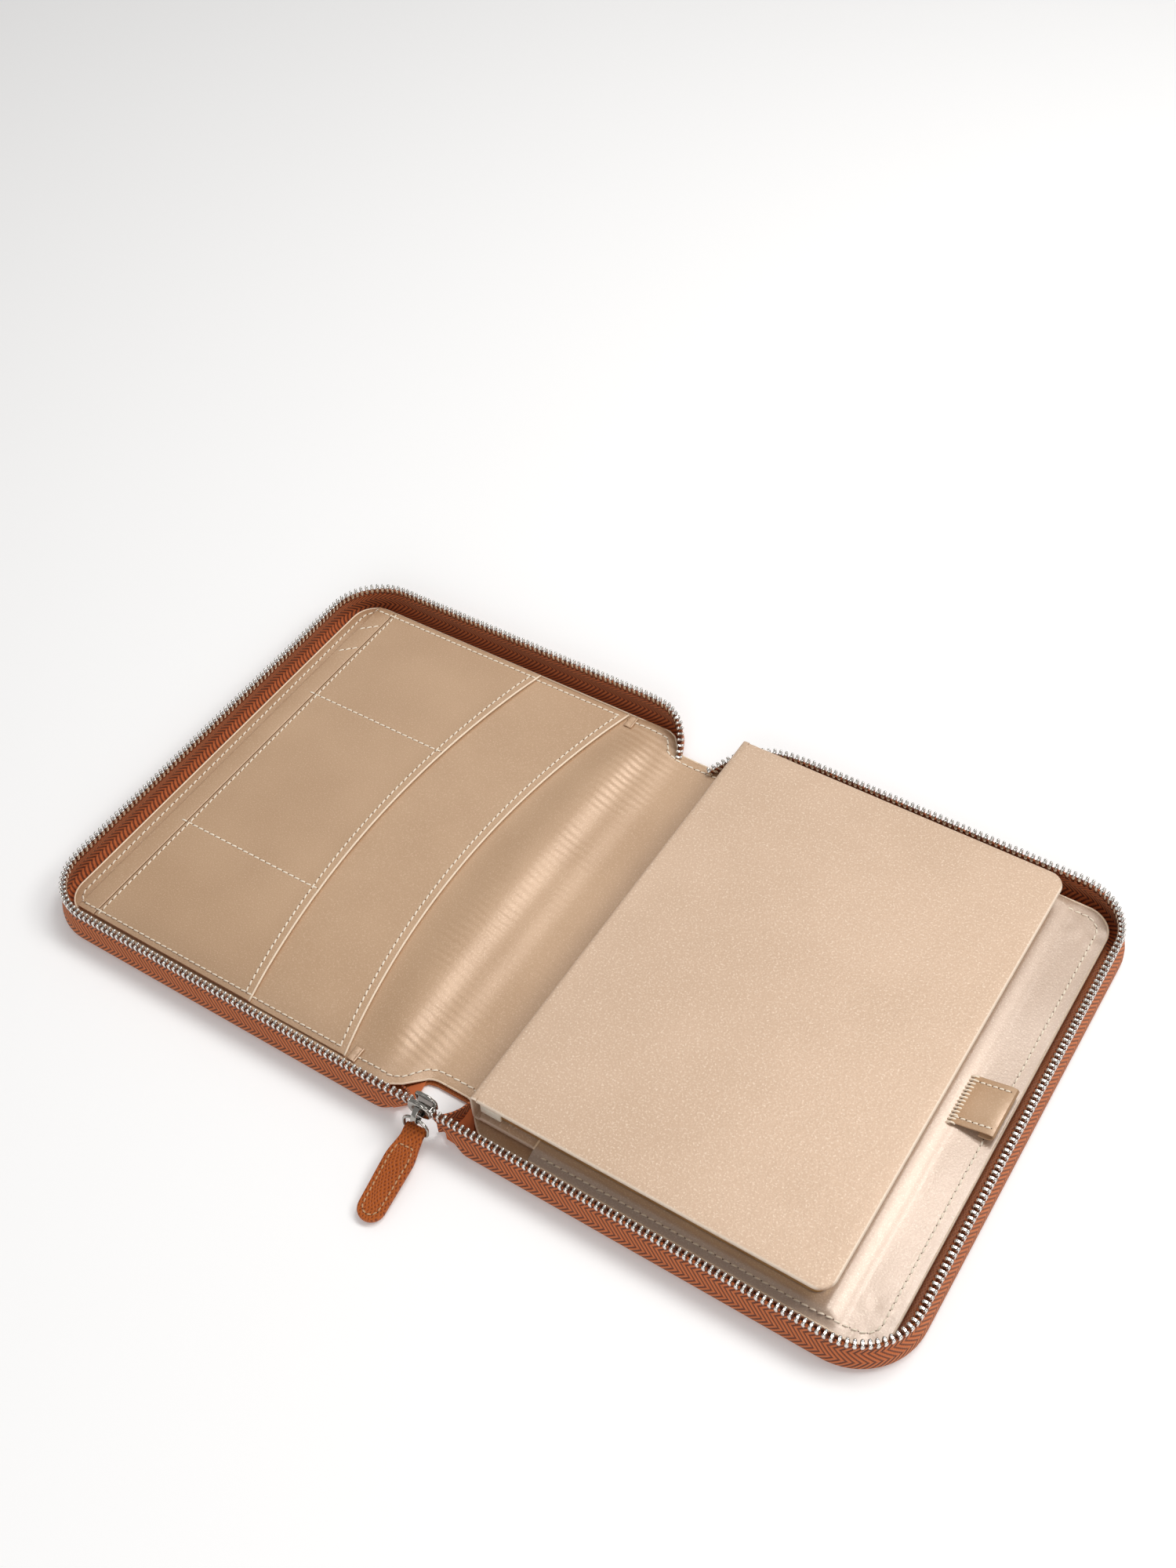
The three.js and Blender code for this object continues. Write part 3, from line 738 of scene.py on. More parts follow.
def tube(points, radius, sides=10, closed=False, flat=1.0):
    """A round rod along a line, as points and faces."""
    line = np.array(points, float)
    if closed:
        ahead = np.roll(line, -1, axis=0) - np.roll(line, 1, axis=0)
    else:
        ahead = np.gradient(line, axis=0)
    ahead = unit(ahead)
    normal = np.array([0, 0, 1.0])
    if abs(ahead[0] @ normal) > 0.9:
        normal = np.array([0, 1.0, 0])
    rings = []
    for spot, run in zip(line, ahead):
        normal = normal - (normal @ run) * run
        normal /= np.linalg.norm(normal)
        side = np.cross(run, normal)
        rings.append([spot + radius * (c * side + flat * s * normal) for c, s in circle(sides)])
    if not closed:
        start = [line[0] + (p - line[0]) * 0.5 - ahead[0] * radius * 0.4 for p in rings[0]]
        end = [line[-1] + (p - line[-1]) * 0.5 + ahead[-1] * radius * 0.4 for p in rings[-1]]
        return loft([start] + rings + [end])
    made, faces = loft(rings)
    last = (len(line) - 1) * sides
    return made, faces[:-2] + [(last + j, last + (j + 1) % sides, (j + 1) % sides, j)
                               for j in range(sides)]


half_plate = [(-5.1, -1.6), (-4.3, -3.2), (-2.4, -4.2), (1.6, -4.2), (4.2, -3.0), (5.1, -1.8)]
plate_outline = half_plate + [(x, -y) for x, y in half_plate[::-1]]
for side, name in ((-1, "slider_outer_plate"), (1, "slider_inner_plate")):
    stand = Matrix.Translation(Vector((SLIDER[0], SLIDER[1] + side * 2.35, SLIDER[2])) * MM)
    stand = stand @ Matrix.Rotation(math.radians(90), 4, "X")
    plate = sheet(name, plate_outline, level_at(0.55), 1.1, nickel_painted_dark_reflection, step=1.5, turn=0.4,
                  place=stand)
    fitted(plate, "slider", "nickel")
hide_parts("slider_body")
flanges = []
for side in (-1, 1):
    for lift in (-3.75, 3.75):
        y = SLIDER[1] + side * 1.55
        rail = [(SLIDER[0] + dx, y + side * dy, SLIDER[2] + lift * dz) for dx, dy, dz in
                ((-3.6, 0.4, 0.9), (-2, 0.1, 1), (1.5, 0.1, 1), (3.6, 0.4, 0.88))]
        flanges.append(tube(rail, 0.62))
flanges.append(tube([(SLIDER[0] + 3.6, SLIDER[1] - 2.4, SLIDER[2]),
                     (SLIDER[0] + 3.6, SLIDER[1] + 2.4, SLIDER[2])], 0.42, flat=0.8))
fitted(new_piece("slider_flanges", *joined(flanges), nickel_painted_dark_reflection), "slider", "nickel")
bail = ribbon("slider_bail_strap", [
    (-115.9, 19.3), (-117.0, 19.0), (-118.4, 17.6), (-119.35, 16.0), (-119.65, 14.4),
    (-119.25, 13.1), (-118.2, 12.4), (-117.0, 12.5), (-116.0, 13.0),
], 0.75, SLIDER[0] - 1.15, SLIDER[0] + 1.15, nickel_painted_dark_reflection, across="x")
fitted(bail, "slider", "nickel", "slider_bail")

# Pull ring: nickel wire bent to a D, hanging from the bail with its straight side down.
RING_MIDDLE = (SLIDER[0], -118.71, 10.955)
RING_HALF_WIDE, RING_HALF_TALL = 5.4, 3.5
lean = math.radians(80)
ring_line = []
for c, s in circle(56):
    squareness = 1.0 if s > 0 else 0.36
    x = RING_HALF_WIDE * math.copysign(abs(c) ** squareness, c)
    drop = RING_HALF_TALL * math.copysign(abs(s) ** squareness, s)
    ring_line.append((RING_MIDDLE[0] + x, RING_MIDDLE[1] + drop * math.cos(lean),
                      RING_MIDDLE[2] + drop * math.sin(lean)))
d_ring = new_piece("d_ring", *tube(ring_line, 0.65, 12, closed=True), nickel_painted_dark_reflection, smooth_angle=80)
fitted(d_ring, "ring", "nickel", "pull_ring")

# Leather pull: a strip of the cross-grained hide folded round the ring, glued to itself and
# sewn with tan thread in one long loop. Its cut edge is painted and burnished.
PULL_FOOT = Vector((SLIDER[0], -119.32, 7.51))
hang = Matrix.Translation(PULL_FOOT * MM) @ Matrix.Rotation(math.radians(-85), 4, "Z")
hang = hang @ Matrix.Rotation(math.radians(9.18), 4, "Y")
pull_leather = Finish("tan pull leather", (0.5, 0.14, 0.03), roughness=0.4,
                      specular_ior_level=0.25)
cross_grain(pull_leather, pull_leather.place(), 0.0015, 0.00026, (0.46, 0.108, 0.016),
            (0.17, 0.029, 0.004))


def pull_half_width(s):
    grow = 4.5 + 1.6 * ramp(s, 2.0, 13.0)
    return grow - 0.45 * ramp(s, 12, 36)


pull_outline = [(s, -pull_half_width(s)) for s in np.arange(-2.4, 32.4, 1.0)]
pull_outline += arc(32.6, 0, 5.65, -88, 88, 17)
pull_outline += [(s, pull_half_width(s)) for s in np.arange(32.0, -2.5, -1.0)]
PULL_INSET = 2.1


def pull_top(x, y):
    fold = np.sqrt(np.clip(2.4 ** 2 - np.minimum(x, 1.0) ** 2, 0.2, None))
    crown = 0.16 * (1 - (y / 6.2) ** 2)
    beside_seam = np.abs(y) - (pull_half_width(x) - PULL_INSET)
    groove = 0.16 * np.exp(-(beside_seam / 0.45) ** 2)
    groove = groove * ramp(x, 6, 8) * (1 - ramp(x, 31, 33))
    body = 1.35 + (2.18 - 1.35) * (1 - ramp(x, 1.0, 4.2))
    return np.where(x < 1.0, fold, body) + crown - groove


strap = sheet("leather_pull_strap", pull_outline, pull_top, 2.6, pull_leather, step=1.0,
              turn=0.55, place=hang)
fitted(strap, "pull", "tan_leather", "leather_pull")

cream_thread = Finish("cream thread", (0.93, 0.82, 0.66), roughness=0.55, sheen_weight=0.2)
flecked(cream_thread, 0.0004, 2, (0.84, 0.70, 0.53), (1.0, 0.93, 0.80), 0.00008)
tan_thread = Finish("tan thread", (0.50, 0.27, 0.12), roughness=0.6)
flecked(tan_thread, 0.0004, 2, (0.40, 0.20, 0.085), (0.64, 0.38, 0.20), 0.00008)
# Near-black discs at the needle holes: painted shade in the recesses.
needle_hole_shade = Finish("painted shade in needle hole", (0.07, 0.035, 0.018), roughness=0.9)


def stitches(name, line, thread, length=2.5, gap=0.6, width=0.37, slant=9, up=(0, 0, 1),
             place=None):
    """A row of sewn stitches along a line on the surface, with near-black discs at their needle
    holes as painted shade.
    """
    line = even(line, (length + gap) / 4)
    count = max(1, round((len(line) - 1) / 4))
    picks = np.linspace(0, len(line) - 1, count * 2 + 1)
    at = np.arange(len(line))
    line = np.column_stack([np.interp(picks, at, line[:, i]) for i in range(3)])
    up = np.array(up, float)
    solids, holes = [], []
    for start, middle, end in zip(line[:-2:2], line[1:-1:2], line[2::2]):
        run = end - start
        reach = np.linalg.norm(run)
        run /= reach
        side = np.cross(up, run)
        run = run * math.cos(math.radians(slant)) + side * math.sin(math.radians(slant))
        side = np.cross(up, run)
        half = reach / 2 * length / (length + gap)
        rings = []
        for share, fat, lift in ((-1, 0.35, -0.13), (-0.8, 0.85, 0.10), (-0.3, 1.0, 0.22),
                                 (0.3, 1.0, 0.22), (0.8, 0.85, 0.10), (1, 0.35, -0.13)):
            spot = middle + run * half * share + up * lift
            rings.append([spot + side * width * fat * c + up * width * 0.72 * fat * s
                          for c, s in circle(6)])
        solids.append(loft(rings))
        # A near-black disc at the needle hole, painted shade in place of a recess.
        spot = middle + run * (half + gap * 0.55) - side * 0.12
        holes.append(loft([[spot + radius * (c * run + s * side) + up * rise for c, s in circle(7)]
                           for radius, rise in ((0.16, -0.12), (0.26, 0.02))]))
    piece = new_piece(name, *joined(solids + holes), thread, smooth_angle=60, place=place)
    piece.data.materials.append(needle_hole_shade.material)
    thread_faces = sum(len(faces) for _, faces in solids)
    for polygon in list(piece.data.polygons)[thread_faces:]:
        polygon.material_index = 1
    return piece


def on_top(flat, height, lift=0.02):
    """The flat line laid on the surface of that height."""
    flat = np.array(flat, float)
    return np.column_stack([flat, height(flat[:, 0], flat[:, 1]) + lift])


loop = [(s, PULL_INSET - pull_half_width(s)) for s in np.arange(7.5, 31.5, 0.8)]
loop += arc(32.3, 0, 3.4, -80, 80, 13)
loop += [(s, pull_half_width(s) - PULL_INSET) for s in np.arange(31.0, 7.0, -0.8)]
loop += [(7.2, y) for y in np.linspace(2.8, -2.8, 6)]
pull_seam = stitches("pull_stitches", on_top(loop, pull_top, 0), tan_thread, length=1.75,
                     gap=0.55, width=0.3, slant=6, place=hang)
fitted(pull_seam, "pull", "tan_leather")

# Linings: thin leather with a satin champagne face, glued over the boards and across the spine,
# where it lies loose and swells a little, and hemmed with the hide at the spine's notches.
champagne = Finish("champagne lining leather", (0.60, 0.41, 0.26), metallic=0.15, roughness=0.3,
                   specular_ior_level=0.9, coat_weight=0.7, coat_roughness=0.42)


def satin_grain(finish, dark, light, bright, speckle_size, rough_low, rough_span):
    """Fine pearl-like pebble: tiny bright flecks on a satin ground, and slow changes of tone."""
    fleck = finish.noise(speckle_size, 2, None, 0.7)
    pebble = finish.node("ShaderNodeTexVoronoi", {"feature": "SMOOTH_F1"}, {
        "Vector": finish.place(), "Scale": 1 / (speckle_size * 1.4), "Smoothness": 0.6,
    })
    tone = finish.smooth(finish.noise(0.045, 3), 0.3, 0.7)
    ground = finish.mix(tone * 0.5 + 0.25, dark, light)
    flecked = finish.mix(finish.smooth(fleck, 0.5, 0.72) * 0.55, ground, bright)
    height = pebble * 0.6 + fleck * 0.4
    finish.feed(
        Base_Color=flecked,
        Roughness=finish.noise(speckle_size * 2, 3) * rough_span + rough_low,
    )
    return height


pebbles = satin_grain(champagne, (0.49, 0.298, 0.163), (0.59, 0.377, 0.220),
                      (0.76, 0.55, 0.37), 0.0006, 0.30, 0.16)
spot, spot_y = champagne.apart(champagne.place())
RIPPLE = 0.0036
SPINE_SWELL = (-0.148, -0.118)
swell = champagne.smooth(spot, SPINE_SWELL[0] - 0.006, SPINE_SWELL[0] + 0.012)
swell = swell * champagne.smooth(spot, SPINE_SWELL[1] - 0.004, SPINE_SWELL[1] + 0.012, 1, 0.25)
waver = champagne.noise(0.02, 2) * 0.004
ripple = champagne.sine((spot_y + waver + spot * 0.12) * (TURN / RIPPLE)) * 0.5 + 0.5
patchy = champagne.smooth(champagne.noise(0.03, 2), 0.35, 0.6)
champagne.bump(pebbles * 0.25 + ripple * swell * patchy * 0.6, 0.0002)

# Turned edges of the lining leather, coloured paler: a painted highlight where they catch the
# light.
edge_painted_highlight = Finish("turned edge with painted highlight", (0.86, 0.68, 0.50), roughness=0.32, specular_ior_level=0.7)
flecked(edge_painted_highlight, 0.0006, 3, (0.76, 0.57, 0.40), (0.94, 0.78, 0.60), 0.00005)

LINING_HALF = 107.5
FRONT_LINING_EDGE = -297.75
BACK_LINING_EDGE = 85.55
LINING_CORNER = 12.0
LINING = 0.6
SPINE_LEVEL = 2.6
COVER_LEVEL = 5.0
SLIP_MOUTH = (25.5, 15.5)
CARD_MOUTH = (74.0, 13.5)
POCKET_HALF = 106.0


def mouth_arc(mouth, y):
    """How far a pocket's mouth lies from the front fold, at y."""
    ends, bow = mouth
    radius = (POCKET_HALF ** 2 + bow ** 2) / (2 * bow)
    return ends + bow - radius + np.sqrt(radius ** 2 - np.clip(y, -POCKET_HALF, POCKET_HALF) ** 2)


def front_lining_top(x, y):
    u = FRONT_FOLD - x
    mouth = mouth_arc(SLIP_MOUTH, y)
    hump = (2.35 + 0.2 * np.sin(y / 31.0 + 1.0)) * (1 - 0.7 * ramp(np.abs(y), 80, 103))
    rise = 1.5 * ramp(u, -12.0, 2.5) + hump * ramp(u, 1.0, 0.42 * mouth)
    return SPINE_LEVEL + rise - hump * ramp(u, 0.42 * mouth, mouth)


def back_lining_top(x, y):
    return SPINE_LEVEL + (COVER_LEVEL - SPINE_LEVEL) * ramp(x, BACK_FOLD - 4.0, BACK_FOLD + 1.3)


front_skin = sheet("front_lining_skin",
                   front_outline(LINING_HALF, FRONT_LINING_EDGE, LINING_CORNER),
                   front_lining_top, LINING, champagne, step=2.2, square=at_mid_spine)
fitted(front_skin, over_front_fold, "champagne_leather", "front_lining", "spine_lining",
       "spine_front_hem", "spine_back_hem")
back_skin = sheet("back_lining_skin",
                  back_outline(LINING_HALF, BACK_LINING_EDGE, LINING_CORNER),
                  back_lining_top, LINING, champagne, step=2.2, square=at_mid_spine)
fitted(back_skin, over_back_fold, "champagne_leather", "back_lining")


def edge_roll(name, flat, height, radius, carrier, *nodes):
    """The thin turned edge, given a painted highlight, that shows as a bright line round a lining
    or along a pocket.
    """
    line = even(on_top(flat, height, -0.15), 2.0)
    piece = new_piece(name, *tube(line, radius, 8), edge_painted_highlight, smooth_angle=80)
    fitted(piece, carrier, "champagne_leather", *nodes)


def sew(name, seam, spacing, height, carrier):
    """A row of cream stitches that follows the leather of that height."""
    row = stitches(name, on_top(even(seam, spacing), height), cream_thread)
    fitted(row, carrier, "champagne_leather")


ROLL_IN = 0.2
for name, edge, top, over_fold in (
    ("front_lining_edge", front_outline(LINING_HALF - ROLL_IN, FRONT_LINING_EDGE + ROLL_IN,
                                        LINING_CORNER), front_lining_top, over_front_fold),
    ("back_lining_edge", back_outline(LINING_HALF - ROLL_IN, BACK_LINING_EDGE - ROLL_IN,
                                      LINING_CORNER), back_lining_top, over_back_fold),
):
    edge_roll(name, edge[1:] + edge[:1], top, 0.42, over_fold)

hem_seams = {
    "front_hem_stitches_front": [(-143, -103.6), (-126, -103.6), (-121.6, -101.5),
                                 (-115.5, -93.5), (-111.5, -91.3), (MID_SPINE - 0.3, -91)],
    "back_hem_stitches_front": [(MID_SPINE - 0.3, 94.3), (-114.5, 94.5), (-119.6, 95.9),
                                (-124.2, 103.2), (-146, 103.9)],
    "front_hem_stitches_back": [(MID_SPINE + 0.3, -91), (-95, -91), (-89.5, -92.6)],
    "back_hem_stitches_back": [(-88.5, 95.5), (-95, 94.5), (MID_SPINE + 0.3, 94.3)],
}
for name, seam in hem_seams.items():
    if name.endswith("front"):
        sew(name, seam, 1.0, front_lining_top, over_front_fold)
    else:
        sew(name, seam, 1.0, back_lining_top, over_back_fold)


# Front cover's pockets: two panels of the lining leather, each with a turned and stitched
# mouth, and a band beyond them that closes a flat document pocket. All are sewn round the edge.
DIVIDERS = (43.0, -47.0)
SEAM = 158.9
BAND_FAR = 168.2
BAND_LEVEL = 5.85


def mouth_at(mouth, y):
    return FRONT_FOLD - mouth_arc(mouth, y)


def panel_outline(mouth, far):
    near = [(mouth_at(mouth, y), y) for y in np.linspace(-POCKET_HALF, POCKET_HALF, 61)]
    return near + [(FRONT_FOLD - far, POCKET_HALF), (FRONT_FOLD - far, -POCKET_HALF)]


def slip_top(x, y):
    u = FRONT_FOLD - x
    past = u - mouth_arc(SLIP_MOUTH, y)
    lip = 0.2 * (1 - ramp(past, 0.5, 9)) * (1 - ramp(np.abs(y), 90, 105))
    return 5.05 + lip - 0.12 * ramp(u, 158.5, 160.5)


def card_top(x, y):
    past = FRONT_FOLD - x - mouth_arc(CARD_MOUTH, y)
    lip = 0.3 * (1 - ramp(past, 0.5, 8)) * (1 - ramp(np.abs(y), 90, 105))
    return 5.95 + lip - 0.14 * sum(np.exp(-((y - d) / 2.2) ** 2) for d in DIVIDERS)


band_box = [(FRONT_FOLD - BAND_FAR, -POCKET_HALF), (FRONT_FOLD - SEAM - 0.5, -POCKET_HALF),
            (FRONT_FOLD - SEAM - 0.5, POCKET_HALF), (FRONT_FOLD - BAND_FAR, POCKET_HALF)]
for name, outline, top, step, node in (
    ("slip_pocket_leather", panel_outline(SLIP_MOUTH, BAND_FAR), slip_top, 4, "slip_pocket_panel"),
    ("card_pocket_leather", panel_outline(CARD_MOUTH, SEAM), card_top, 3, "card_pocket_panel"),
    ("document_pocket_leather", band_box, level_at(BAND_LEVEL), 4, "document_pocket_band"),
):
    panel = sheet(name, outline, top, LINING, champagne, step=step)
    fitted(panel, "front_half", "champagne_leather", node)

rows_of_y = np.linspace(-POCKET_HALF, POCKET_HALF, 70)
for name, mouth, height, node in (("slip_mouth_roll", SLIP_MOUTH, slip_top, "slip_pocket_piping"),
                                  ("card_mouth_roll", CARD_MOUTH, card_top, "card_pocket_piping")):
    lip_line = [(mouth_at(mouth, y) + 0.15, y) for y in rows_of_y]
    edge_roll(name, lip_line, height, 0.5, "front_half", node)

INSET = 103.3
far_x = FRONT_FOLD - SEAM + 1.6
border_x = FRONT_LINING_EDGE + 4.2
slip_far = FRONT_FOLD - BAND_FAR


def pocket_surface(x, y):
    """The upper face of whichever leather lies on top on the front cover."""
    u = FRONT_FOLD - x
    z = front_lining_top(x, y)
    z = np.where((u > mouth_arc(SLIP_MOUTH, y)) & (u < BAND_FAR), slip_top(x, y), z)
    z = np.where((u > mouth_arc(CARD_MOUTH, y)) & (u < SEAM), card_top(x, y), z)
    return np.where((u > SEAM) & (u < BAND_FAR), BAND_LEVEL, z)


def arc_seam(mouth, inside, half):
    return [(mouth_at(mouth, y) - inside, y) for y in np.linspace(-half, half, 80)]


front_seams = {
    "slip_mouth_stitches": arc_seam(SLIP_MOUTH, 3.0, INSET),
    "card_mouth_stitches": arc_seam(CARD_MOUTH, 3.0, INSET),
    "band_stitches": [(far_x, -POCKET_HALF + 0.5), (far_x, POCKET_HALF - 0.5)],
    "front_side_stitches": [(FRONT_FOLD - 28.6, -INSET), (slip_far + 1.5, -INSET)],
    "back_side_stitches": [(FRONT_FOLD - 28.6, INSET), (slip_far + 1.5, INSET)],
    "border_stitches": [(slip_far - 0.6, -INSET), *arc(border_x + 7, -INSET + 7, 7, 270, 180, 10),
                        *arc(border_x + 7, INSET - 7, 7, 180, 90, 10), (slip_far - 0.6, INSET)],
}
for number, y in enumerate(DIVIDERS, 1):
    front_seams[f"divider_stitches_{number}"] = [(far_x - 4.5, y),
                                                 (mouth_at(CARD_MOUTH, y) - 0.8, y)]
front_seams["upper_bar_tack"] = [(-288.6, 88.3), (-281.4, 94.7)]
front_seams["lower_bar_tack"] = [(-288.2, 71.3), (-281.2, 77.7)]
for name, seam in front_seams.items():
    sew(name, seam, 0.8, pocket_surface, "front_half")

tab_x = FRONT_FOLD - 24.2
for name, y, node in (("front_gusset_tab", -103.0, "pocket_gusset_back"),
                      ("back_gusset_tab", 103.0, "pocket_gusset_front")):
    low, high = y - 3.4, y + 3.4
    tab = sheet(name, [(tab_x, low), (tab_x + 3.6, low), (tab_x + 3.6, high), (tab_x, high)],
                lambda x, y: COVER_LEVEL + 0.25 * np.sin((x - tab_x) * 1.6), LINING, champagne,
                step=1.2)
    fitted(tab, "front_half", "champagne_leather", node)
    roll_line = [(tab_x + 3.7, low, COVER_LEVEL), (tab_x + 3.7, high, COVER_LEVEL)]
    rolled = new_piece(f"{name}_edge", *tube(even(roll_line, 1.5), 0.4, 8), champagne)
    fitted(rolled, "front_half", "champagne_leather")

# Notebook pocket: a wide flap of pearl lining leather over the back cover that holds the notebook's
# back board, coloured paler and greyer than the lining as a painted glare. It steps down beyond the
# fore edge and is sewn to the lining round three sides.
FLAP_MOUTH = -59.25
NOTEBOOK_FORE = 62.55
NOTEBOOK_FRONT = -102.5
NOTEBOOK_BACK = 106.5


def flap_top(x, y):
    over_board = 1 - ramp(x, NOTEBOOK_FORE - 0.2, NOTEBOOK_FORE + 6.2)
    over_board = over_board * ramp(y, NOTEBOOK_FRONT - 3.6, NOTEBOOK_FRONT - 0.4)
    over_board = over_board * (1 - ramp(y, NOTEBOOK_BACK + 0.1, NOTEBOOK_BACK + 0.9))
    pucker = 0.10 * np.sin(y / 7.0 + 0.6 * np.sin(y / 17)) * ramp(x, 64, 76)
    out, along_side = x - (BACK_LINING_EDGE - 10), np.abs(y) - (LINING_HALF - 10)
    crumple = 0.14 * np.exp(-((np.hypot(out, along_side) - 7) / 3.0) ** 2)
    crumple = crumple * np.sin(np.arctan2(along_side, out) * 5.0) * ramp(x, 66, 76)
    return 6.4 + 1.95 * over_board + pucker + crumple * (np.abs(y) > 80)


flap_outline = [
    (FLAP_MOUTH + 0.5, LINING_HALF), (FLAP_MOUTH, LINING_HALF - 1), (FLAP_MOUTH, 1 - LINING_HALF),
    (FLAP_MOUTH + 0.5, -LINING_HALF),
    *right_corners(BACK_LINING_EDGE, -LINING_HALF, LINING_HALF, LINING_CORNER),
]
# A paler, greyer copy of the lining's colours: painted glare of the light on the flap.
pearl = Finish("pocket lining with painted glare", (0.50, 0.37, 0.27), metallic=0.15, roughness=0.3,
               specular_ior_level=0.9, coat_weight=0.7, coat_roughness=0.36)
pearl.bump(satin_grain(pearl, (0.46, 0.325, 0.235), (0.55, 0.40, 0.295), (0.78, 0.66, 0.54),
                       0.0006, 0.26, 0.16), 0.00005)
flap = sheet("notebook_pocket_leather", flap_outline, flap_top, LINING, pearl, step=2.2)
fitted(flap, "back_half", "champagne_leather", "notebook_pocket_flap")
edge_roll("flap_edge_roll", flap_outline[3:] + flap_outline[:1], flap_top, 0.45, "back_half")
edge_roll("flap_mouth_roll", [(FLAP_MOUTH + 0.2, -103), (FLAP_MOUTH + 0.2, 103)], flap_top, 0.5,
          "back_half")
FLAP_INSET = 4.6
flap_seam = [
    (FLAP_MOUTH + 4, -LINING_HALF + 3.2), (60, -LINING_HALF + 3.2),
    *right_corners(BACK_LINING_EDGE - FLAP_INSET, FLAP_INSET - LINING_HALF,
                   LINING_HALF - FLAP_INSET, LINING_CORNER - FLAP_INSET, 10),
    (66, LINING_HALF - FLAP_INSET),
]
sew("flap_border_stitches", flap_seam, 0.8, flap_top, "back_half")

# Pen loop: a folded strap of lining leather, sewn flat to the flap along its inner side with
# thick whip stitches, and standing open like a wedge at its outer side.
PEN_LOW, PEN_HIGH = -12.6, 10.6
pen_profile = [(67.4, 7.3), (69.0, 7.7), (74.0, 8.9), (79.0, 10.35), (82.0, 11.05),
               (83.6, 11.0), (84.15, 10.3), (84.0, 9.3), (83.0, 8.0), (81.6, 7.3), (78.5, 6.95)]
pen_strap = ribbon("pen_loop_strap", pen_profile, 0.75, PEN_LOW, PEN_HIGH, champagne)
fitted(pen_strap, "back_half", "champagne_leather", "pen_loop")
for number, y in enumerate((PEN_LOW + 2.6, PEN_HIGH - 2.6), 1):
    seam = [(x, y, z + 0.42) for x, z in pen_profile[:5]]
    sewn = stitches(f"pen_loop_stitches_{number}", even(seam, 0.5), cream_thread, length=2.2)
    fitted(sewn, "back_half", "champagne_leather")
whips = []
for y in np.arange(PEN_LOW - 0.4, PEN_HIGH + 0.6, 1.75):
    whips.append(tube([(66.0, y - 0.45, 6.9), (66.5, y - 0.2, 7.7), (67.4, y + 0.1, 8.0),
                       (68.4, y + 0.3, 7.9), (69.2, y + 0.4, 7.4)], 0.4, 8))
whip_row = new_piece("pen_loop_whip_stitches", *joined(whips), cream_thread, smooth_angle=80)
fitted(whip_row, "back_half", "champagne_leather")

# Notebook: a hard cover of grey board wrapped in pearl leather, round a sewn block of pages
# with gilt edges. The cover turns on a strip of its own leather along the spine.
cover_leather = Finish("pearl notebook leather", (0.72, 0.53, 0.385), metallic=0.12,
                       roughness=0.45)
cover_leather.bump(satin_grain(cover_leather, (0.60, 0.42, 0.29), (0.685, 0.49, 0.35),
                               (0.98, 0.81, 0.65), 0.0008, 0.38, 0.18), 0.0001)
# Its fore and front edges are painted paler: a painted highlight along the rounded edges.
cover_x, cover_y = cover_leather.apart(cover_leather.place())
painted_highlight_rim = cover_leather.smooth(cover_x, 0.0614, 0.0624)
painted_highlight_rim = painted_highlight_rim + cover_leather.smooth(cover_y, -0.1024, -0.1014, 1, 0)
ground_under_highlight = Wire(cover_leather, cover_leather.shader.inputs["Base Color"].links[0].from_socket)
# The paler colour along the edges is a painted highlight.
cover_leather.feed(Base_Color=cover_leather.mix(
    cover_leather.node("ShaderNodeClamp", None, {0: painted_highlight_rim * 0.75}), ground_under_highlight, (0.97, 0.84, 0.70)))
NOTEBOOK_SPINE = -87.45
BOARD_START = -84.4
NOTEBOOK_TOP = 20.1


BOARD = 2.2


def leaf_outline(start, fore, front, back, radius, steps=14):
    """A cover board or a leaf: square at the notebook's spine, rounded at its fore edge."""
    return [(start, back), (start, front), *right_corners(fore, front, back, radius, steps)]


def front_board_top(x, y):
    return NOTEBOOK_TOP - 0.12 * np.exp(-((x - (NOTEBOOK_SPINE + 9)) / 2.4) ** 2)


board_outline = leaf_outline(BOARD_START, NOTEBOOK_FORE, NOTEBOOK_FRONT, NOTEBOOK_BACK, 7.0)
for name, top, step, body, node in (
    ("notebook_front_cover", front_board_top, 5, "notebook_cover", "notebook_front_board"),
    ("notebook_back_cover", level_at(7.5), 6, "notebook", "notebook_back_board"),
):
    cover_board = sheet(name, board_outline, top, BOARD, cover_leather, step=step, turn=0.7,
                        square=lambda x, y: abs(x - BOARD_START) < 0.01)
    fitted(cover_board, body, "notebook_cover", node)
spine_profile = [(BOARD_START, 5.75), (-85.6, 5.75), (-86.6, 6.0), (-87.0, 6.8), (-87.05, 9.0),
                 (-87.05, 13.0), (-87.05, 17.5), (-87.0, 18.8), (-86.75, 19.4), (-86.2, 19.68),
                 (-85.4, 19.7), (BOARD_START - 0.6, 19.7), (BOARD_START, 19.7)]
spine_wrap = ribbon("notebook_spine_wrap", spine_profile, 0.8, NOTEBOOK_FRONT + 0.05,
                    NOTEBOOK_BACK - 0.05, cover_leather)
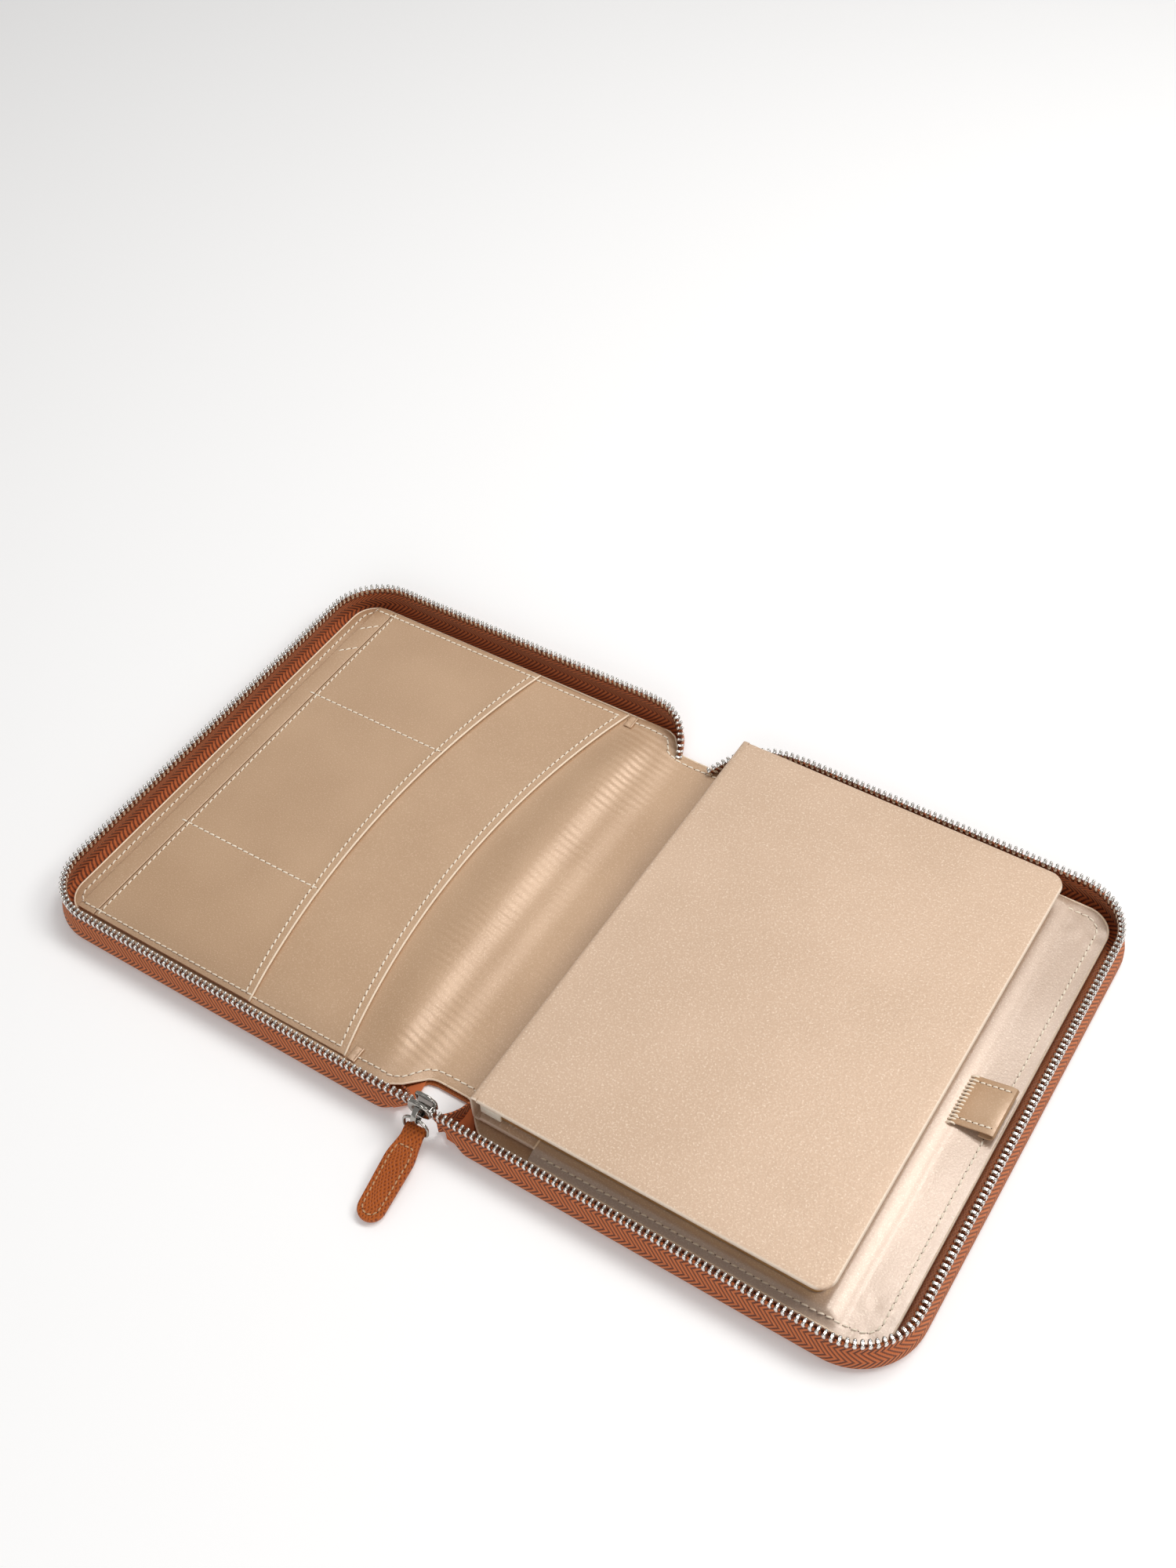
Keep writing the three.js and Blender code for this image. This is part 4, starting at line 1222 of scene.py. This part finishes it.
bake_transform(spine_wrap)
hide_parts("notebook_spine")

# Page block: ivory leaves with gilt edges, a loose first page on top and an endpaper pasted to
# the front board.
gilt = Finish("gilt page edges", (0.80, 0.53, 0.20), metallic=0.85, roughness=0.3)
layers = gilt.node("ShaderNodeMapping", None, {"Vector": gilt.place(), "Scale": (0.03, 0.03, 1)})
leaf_lines = gilt.noise(0.00022, 3, layers)
gilt.feed(
    Base_Color=gilt.mix(gilt.smooth(leaf_lines, 0.3, 0.7), (0.52, 0.30, 0.09), (0.95, 0.68, 0.30)),
    Roughness=leaf_lines * 0.25 + 0.2,
)
gilt.bump(leaf_lines, 0.00015)
PAGE_LOW, PAGE_HIGH = 8.75, 17.05
PAPER = 0.16
block = sheet("page_block_edges", leaf_outline(-84.0, 59.3, -99.3, 103.3, 4.9, 8),
              level_at(PAGE_HIGH), PAGE_HIGH - PAGE_LOW, gilt, step=8, turn=0.35)
fitted(block, "notebook", "gilded_paper", "page_block")

ivory = Finish("ivory paper", (0.86, 0.80, 0.68), roughness=0.85)
flecked(ivory, 0.0008, 5, (0.80, 0.73, 0.60), (0.91, 0.86, 0.75), 0.00003)
flyleaf = sheet("first_page", leaf_outline(-83.6, 59.2, -99.0, 103.0, 4.8, 8), level_at(17.27),
                PAPER, ivory, step=8, turn=0.06)
fitted(flyleaf, "notebook", "paper")
pastedown = sheet("pasted_endpaper", [(-82.0, 103.3), (-82.0, -99.3), (58.3, -99.3), (58.3, 103.3)],
                  level_at(17.86), PAPER, ivory, step=8, turn=0.06)
fitted(pastedown, "notebook_cover", "paper", "notebook_pastedown")

# Head and tail bands: a striped woven cord glued across each end of the page block's spine.
for name, y in (("tail_band", -100.0), ("head_band", 104.0)):
    cords = []
    for level_z in np.linspace(9.6, 16.2, 6):
        cords.append(tube([(-84.4, y, level_z), (-80.5, y, level_z), (-75.6, y, level_z)], 0.62, 8))
    woven = new_piece(f"woven_{name}", *joined(cords), ivory, smooth_angle=80)
    fitted(woven, "notebook", "paper", name)
